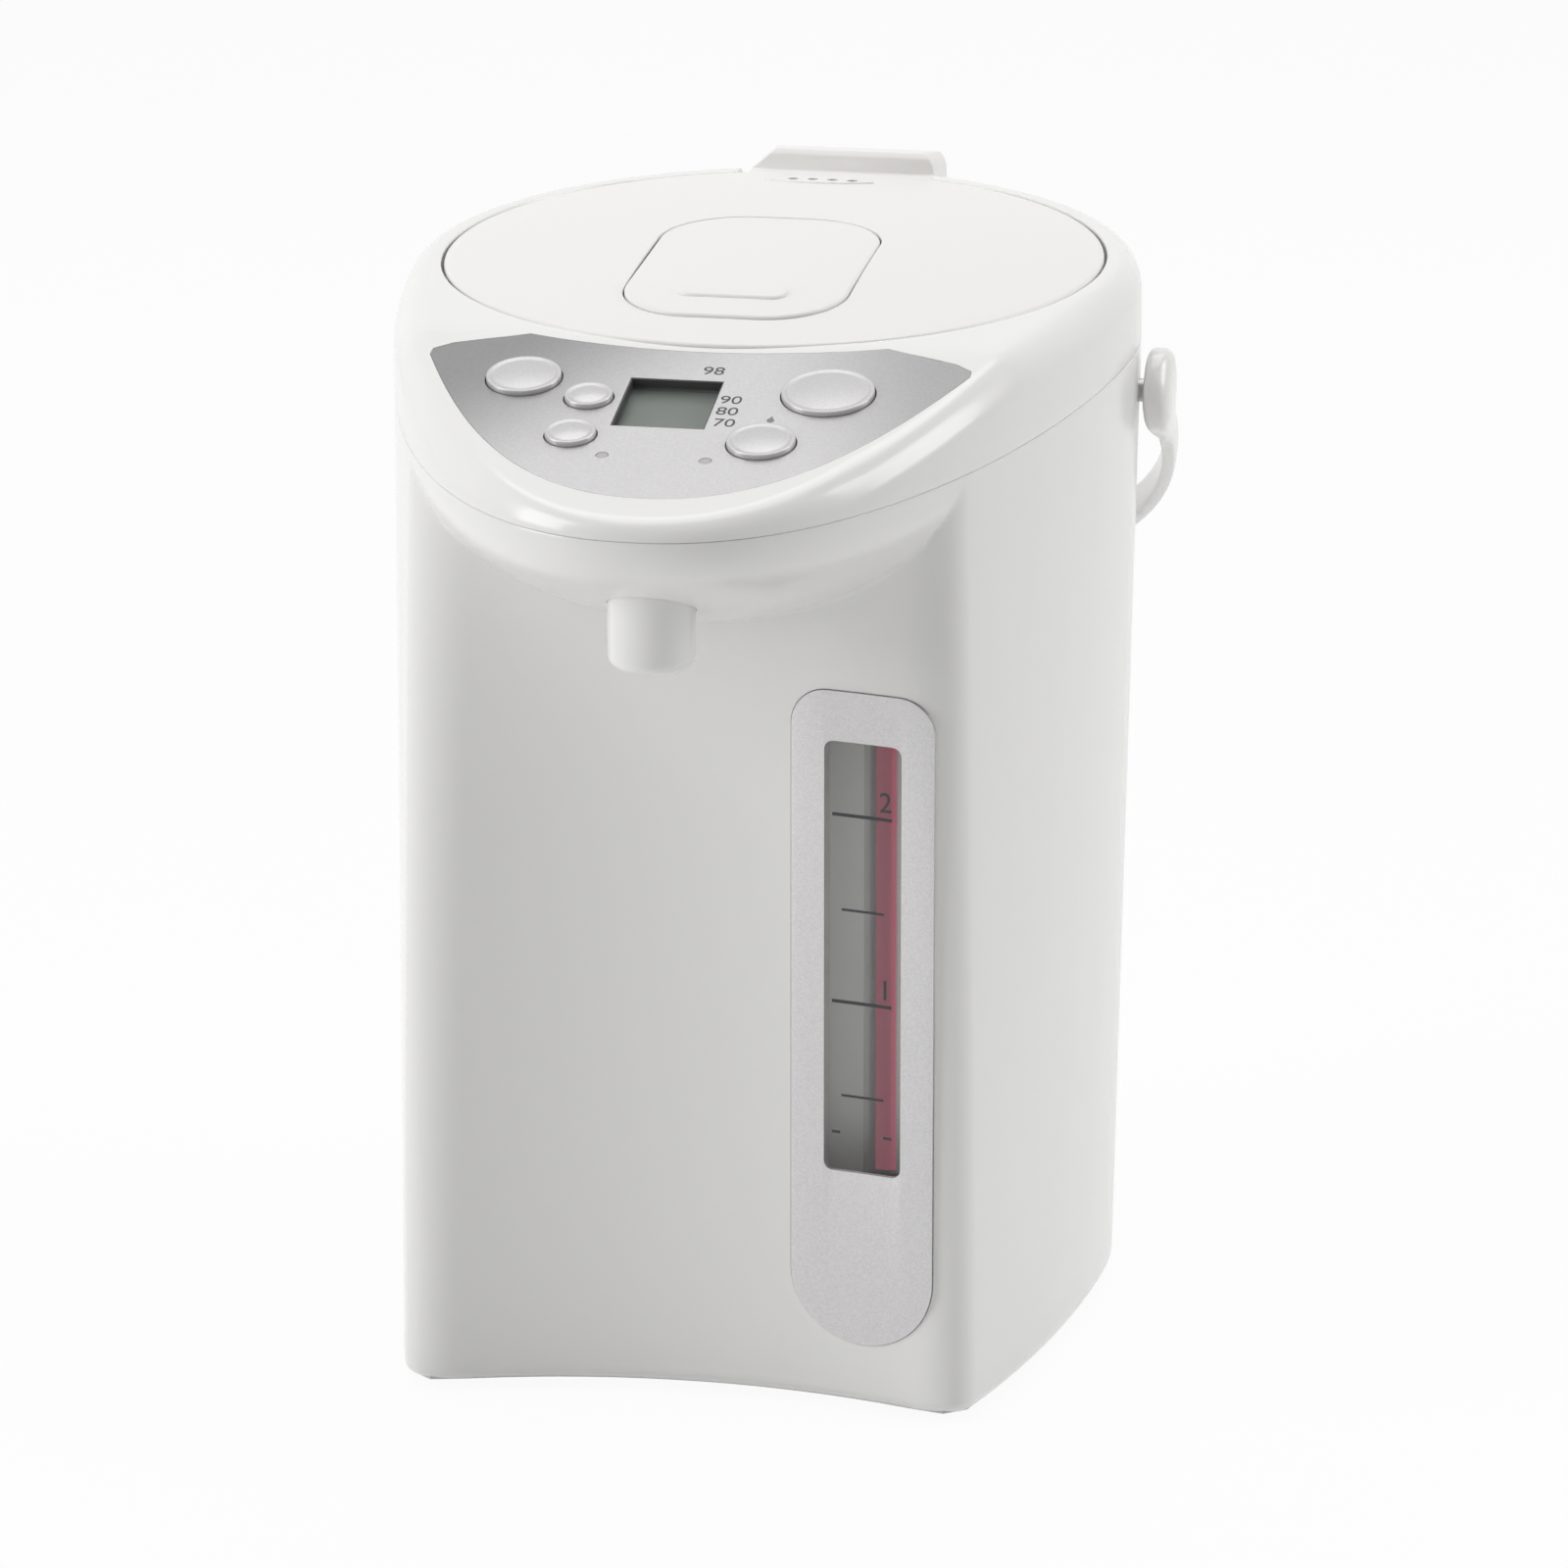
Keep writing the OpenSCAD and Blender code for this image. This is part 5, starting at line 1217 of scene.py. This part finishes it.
# ---------------------------------------------------------------- handle

class POT_OT_handle(bpy.types.Operator):
    """Builds the bail handle: two domed ears that narrow into one strap"""
    bl_idname = "pot.handle"
    bl_label = "Bail handle"

    def execute(self, context):
        h = context.scene.pot_handle
        r_mid = h.bail_r + h.strap_t / 2
        path = []
        for u in np.concatenate([-h.ear_r * np.cos(np.radians(np.arange(0, 90, 9))), np.linspace(0, h.arm, 16)]):
            path.append((u, (r_mid, u), (1.0, 0.0)))
        for q in np.radians(np.linspace(0, 90, 40))[1:]:
            outward = (math.cos(q), math.sin(q))
            path.append((h.arm + r_mid * q, (r_mid * outward[0], h.arm + r_mid * outward[1]), outward))
        rings = []
        for u, (x, v), (nx, nv) in path:
            blend = smooth_step(u, -0.2 * h.ear_r, 2.1 * h.ear_r)
            wide = h.ear_r * math.sqrt(max(1 - (min(u, 0) / h.ear_r) ** 2, 0))
            half_w = wide + (h.strap_w / 2 - wide) * blend
            puff = math.sqrt(max(1 - (min(u, 0) / h.ear_r) ** 4, 0))
            outside = (h.ear_out - r_mid) * puff * (1 - blend) + h.strap_t / 2 * blend
            inside = (r_mid - h.ear_in) * (0.35 + 0.65 * puff) * (1 - blend) + h.strap_t / 2 * blend
            ring = []
            for q in np.radians(np.arange(0, 360, 12)):
                cosine, sine = math.cos(q), math.sin(q)
                out = math.copysign(abs(cosine) ** 0.62, cosine)
                up = math.copysign(abs(sine) ** 0.5, sine)
                reach = out * (outside if out > 0 else inside)
                ring.append((x + nx * reach, v + nv * reach, up * half_w))
            rings.append(ring)
        whole = rings + [[(-x, v, w) for x, v, w in ring] for ring in reversed(rings[:-1])]
        bail = loft("bail", whole, ends="caps")
        swing = Matrix.Translation((0, h.pivot_y, h.pivot_z)) @ Matrix.Rotation(-h.hang, 4, "X")
        finished(moved(bail, swing), "handle", "casing_white", casing_white(), "bail_handle", sharp=60)
        return {"FINISHED"}


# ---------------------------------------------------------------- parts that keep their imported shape

class POT_OT_inner_parts(bpy.types.Operator):
    """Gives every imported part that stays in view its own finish"""
    bl_idname = "pot.inner_parts"
    bl_label = "Inner parts"

    def execute(self, context):
        f = finish()
        steel = brushed("plain_steel", (0.62, 0.62, 0.62), (900, 900, 60))
        sheet = brushed("sheet_steel", (0.55, 0.57, 0.59), (60, 900, 900), 0.2)
        tank = brushed("tank_steel", (0.36, 0.36, 0.37), (40, 40, 1400), 0.18)
        rubber = moulded("foot_rubber", (0.03, 0.03, 0.03), roughness=0.7, scale=90, unevenness=0.2, bump=0.2)
        silicone = moulded("silicone", (0.62, 0.6, 0.56), roughness=0.45, scale=50, bump=0.1)
        seal = moulded("seal_grey", (0.5, 0.5, 0.48), roughness=0.55, scale=50, bump=0.1)
        grey = moulded("base_grey", (0.6, 0.6, 0.59), roughness=0.45, scale=80, bump=0.2)
        black = moulded("dark_plastic", (0.02, 0.02, 0.022), roughness=0.42, scale=70, unevenness=0.2, bump=0.1)
        board = moulded("board_green", (0.02, 0.11, 0.05), roughness=0.35, scale=130, unevenness=0.25, bump=0.1)
        channel = moulded("scale_grey", f.channel, roughness=0.5, scale=60, unevenness=0.08, bump=0.1)
        finishes = {
            "base_cover": grey, "rubber_feet": rubber, "base_screws": steel, "control_board": board,
            "lcd_module": screen_material(), "scale_plate": channel,
            "red_scale_strip": glowing_red(),
            "sight_tube": clear_tube(), "tube_lower_socket": silicone,
            "water_container": tank, "container_gasket": seal, "heater_plate": steel, "heat_shield": sheet,
            "pump_housing": grey, "pump_impeller": grey, "pump_motor": steel, "motor_rotor": black,
            "pump_inlet_elbow": silicone, "pump_outlet_elbow": silicone, "spout_hose": silicone,
            "thermistor": black, "thermal_fuse": grey, "power_board": board, "inlet_socket": black,
            "hinge_pin": steel, "handle_pivot_pins": steel, "lid_lower_pan": sheet, "lid_gasket": seal,
            "steam_valve": grey, "lever_pin": steel, "lid_latch": grey,
        }
        for node, material in finishes.items():
            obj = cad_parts[node]
            obj.data.materials.clear()
            obj.data.materials.append(material)
        return {"FINISHED"}


def glowing_red():
    """Red strip with a little light of its own, because hardly any reaches it in the deep channel."""
    f = finish()
    material = moulded("red_strip", f.red, roughness=0.4, scale=60, unevenness=0.08)
    shader = material.node_tree.nodes["Principled BSDF"]
    shader.inputs["Emission Color"].default_value = (*f.red, 1)
    shader.inputs["Emission Strength"].default_value = 0.2
    return material


def screen_material():
    """Grey green liquid crystal with a slight unevenness."""
    f = finish()
    material, nodes, shader = material_base("screen_green")
    if nodes is None:
        return material
    links = material.node_tree.links
    grain = nodes.new("ShaderNodeGroup")
    grain.node_tree = grain_group()
    grain.inputs["Tone"].default_value = (*f.screen, 1)
    grain.inputs["Unevenness"].default_value = 0.05
    links.new(grain.outputs["Color"], shader.inputs["Base Color"])
    link_bump(material, grain.outputs["Height"], 0.02, BUMP_HEIGHT)
    shader.inputs["Roughness"].default_value = 0.3
    return material


# ---------------------------------------------------------------- stage

CAMERA_PLACE = (0.40623, AXIS_Y - 2.0221, 0.70233)
CAMERA_AIM = (0.002543, AXIS_Y, 0.12985)
CAMERA_LENS = 191.1
ROOM_LIGHT = 0.22
FLOOR_GLOW = 0.94


def area_light(name, place, aim, width, height, power):
    data = bpy.data.lights.new(name, "AREA")
    data.shape = "RECTANGLE"
    data.size, data.size_y, data.energy = width, height, power
    lamp = bpy.data.objects.new(name, data)
    bpy.context.scene.collection.objects.link(lamp)
    lamp.location = place
    lamp.rotation_euler = (Vector(aim) - Vector(place)).to_track_quat("-Z", "Y").to_euler()
    return lamp


class POT_OT_stage(bpy.types.Operator):
    """Builds the pale floor, the soft studio light and the camera"""
    bl_idname = "pot.stage"
    bl_label = "Stage"

    def execute(self, context):
        scene = context.scene
        scene.view_settings.view_transform = "Standard"
        floor = new_object("floor", [(-6, -6, 0), (6, -6, 0), (6, 6, 0), (-6, 6, 0)], [(0, 1, 2, 3)])
        floor.data.materials.append(pale_floor())
        world = bpy.data.worlds.new("studio")
        world.use_nodes = True
        scene.world = world
        nodes, links = world.node_tree.nodes, world.node_tree.links
        nodes.clear()
        output, mix = nodes.new("ShaderNodeOutputWorld"), nodes.new("ShaderNodeMixShader")
        room, white = nodes.new("ShaderNodeBackground"), nodes.new("ShaderNodeBackground")
        rays = nodes.new("ShaderNodeLightPath")
        room.inputs["Strength"].default_value = ROOM_LIGHT
        room.inputs["Color"].default_value = (1, 1, 1, 1)
        white.inputs["Strength"].default_value = 1.0
        white.inputs["Color"].default_value = (1, 1, 1, 1)
        links.new(white_rays(nodes, links, rays), mix.inputs[0])
        links.new(room.outputs[0], mix.inputs[1])
        links.new(white.outputs[0], mix.inputs[2])
        links.new(mix.outputs[0], output.inputs["Surface"])
        area_light("key_left", (-1.7, -0.9, 0.95), (0, 0, 0.15), 1.0, 1.6, 20.5)
        area_light("top", (-0.1, 0.3, 1.9), (0, 0, 0.2), 1.6, 1.6, 15)
        area_light("right", (1.8, 0.35, 1.25), (0, 0, 0.15), 0.9, 1.2, 14.5)
        camera = bpy.data.objects.new("camera", bpy.data.cameras.new("camera"))
        scene.collection.objects.link(camera)
        camera.data.lens = CAMERA_LENS
        camera.data.clip_end = 50
        camera.location = CAMERA_PLACE
        camera.rotation_euler = (Vector(CAMERA_AIM) - Vector(CAMERA_PLACE)).to_track_quat("-Z", "Y").to_euler()
        scene.camera = camera
        return {"FINISHED"}


def white_rays(nodes, links, rays):
    """1 for the rays that show the white room: those of the camera, and those mirrored or sent on by a surface."""
    total = rays.outputs["Is Camera Ray"]
    for kind in ("Is Glossy Ray", "Is Transmission Ray"):
        total = number_node(nodes, links, "MAXIMUM", total, rays.outputs[kind])
    return total


def pale_floor():
    """White floor that shows white to the camera and keeps the object's soft shadow."""
    material, nodes, shader = material_base("pale_floor")
    if nodes is None:
        return material
    links = material.node_tree.links
    shader.inputs["Base Color"].default_value = (0.9, 0.9, 0.9, 1)
    shader.inputs["Roughness"].default_value = 0.9
    shader.inputs["Specular IOR Level"].default_value = 0.1
    glow, rays = nodes.new("ShaderNodeEmission"), nodes.new("ShaderNodeLightPath")
    mix = nodes.new("ShaderNodeMixShader")
    glow.inputs["Strength"].default_value = 1.0
    seen = number_node(nodes, links, "MULTIPLY", white_rays(nodes, links, rays), FLOOR_GLOW)
    links.new(seen, mix.inputs[0])
    links.new(shader.outputs[0], mix.inputs[1])
    links.new(glow.outputs[0], mix.inputs[2])
    links.new(mix.outputs[0], nodes["Material Output"].inputs["Surface"])
    return material


# ---------------------------------------------------------------- add-on

class POT_PT_dresser(bpy.types.Panel):
    """Lists the steps that dress the thermo pot"""
    bl_label = "Thermo Pot"
    bl_idname = "POT_PT_dresser"
    bl_space_type = "VIEW_3D"
    bl_region_type = "UI"
    bl_category = "Thermo Pot"

    def draw(self, context):
        for operator in STEPS:
            self.layout.operator(operator.bl_idname)


GROUPS = {"pot_casing": PotCasing, "pot_lid": PotLid, "pot_panel": PotPanel, "pot_gauge": PotGauge,
          "pot_handle": PotHandle, "pot_finish": PotFinish}
STEPS = (POT_OT_casing, POT_OT_collar, POT_OT_panel, POT_OT_buttons, POT_OT_gauge, POT_OT_nozzle, POT_OT_lid,
         POT_OT_hinge, POT_OT_handle, POT_OT_inner_parts, POT_OT_stage)


def register():
    for name, group in GROUPS.items():
        bpy.utils.register_class(group)
        setattr(bpy.types.Scene, name, PointerProperty(type=group))
    for item in STEPS + (POT_PT_dresser,):
        bpy.utils.register_class(item)


def unregister():
    for item in reversed(STEPS + (POT_PT_dresser,)):
        bpy.utils.unregister_class(item)
    for name, group in reversed(list(GROUPS.items())):
        delattr(bpy.types.Scene, name)
        bpy.utils.unregister_class(group)


def main():
    register()
    for step in STEPS:
        family, name = step.bl_idname.split(".")
        getattr(getattr(bpy.ops, family), name)()


if __name__ == "__main__":
    main()
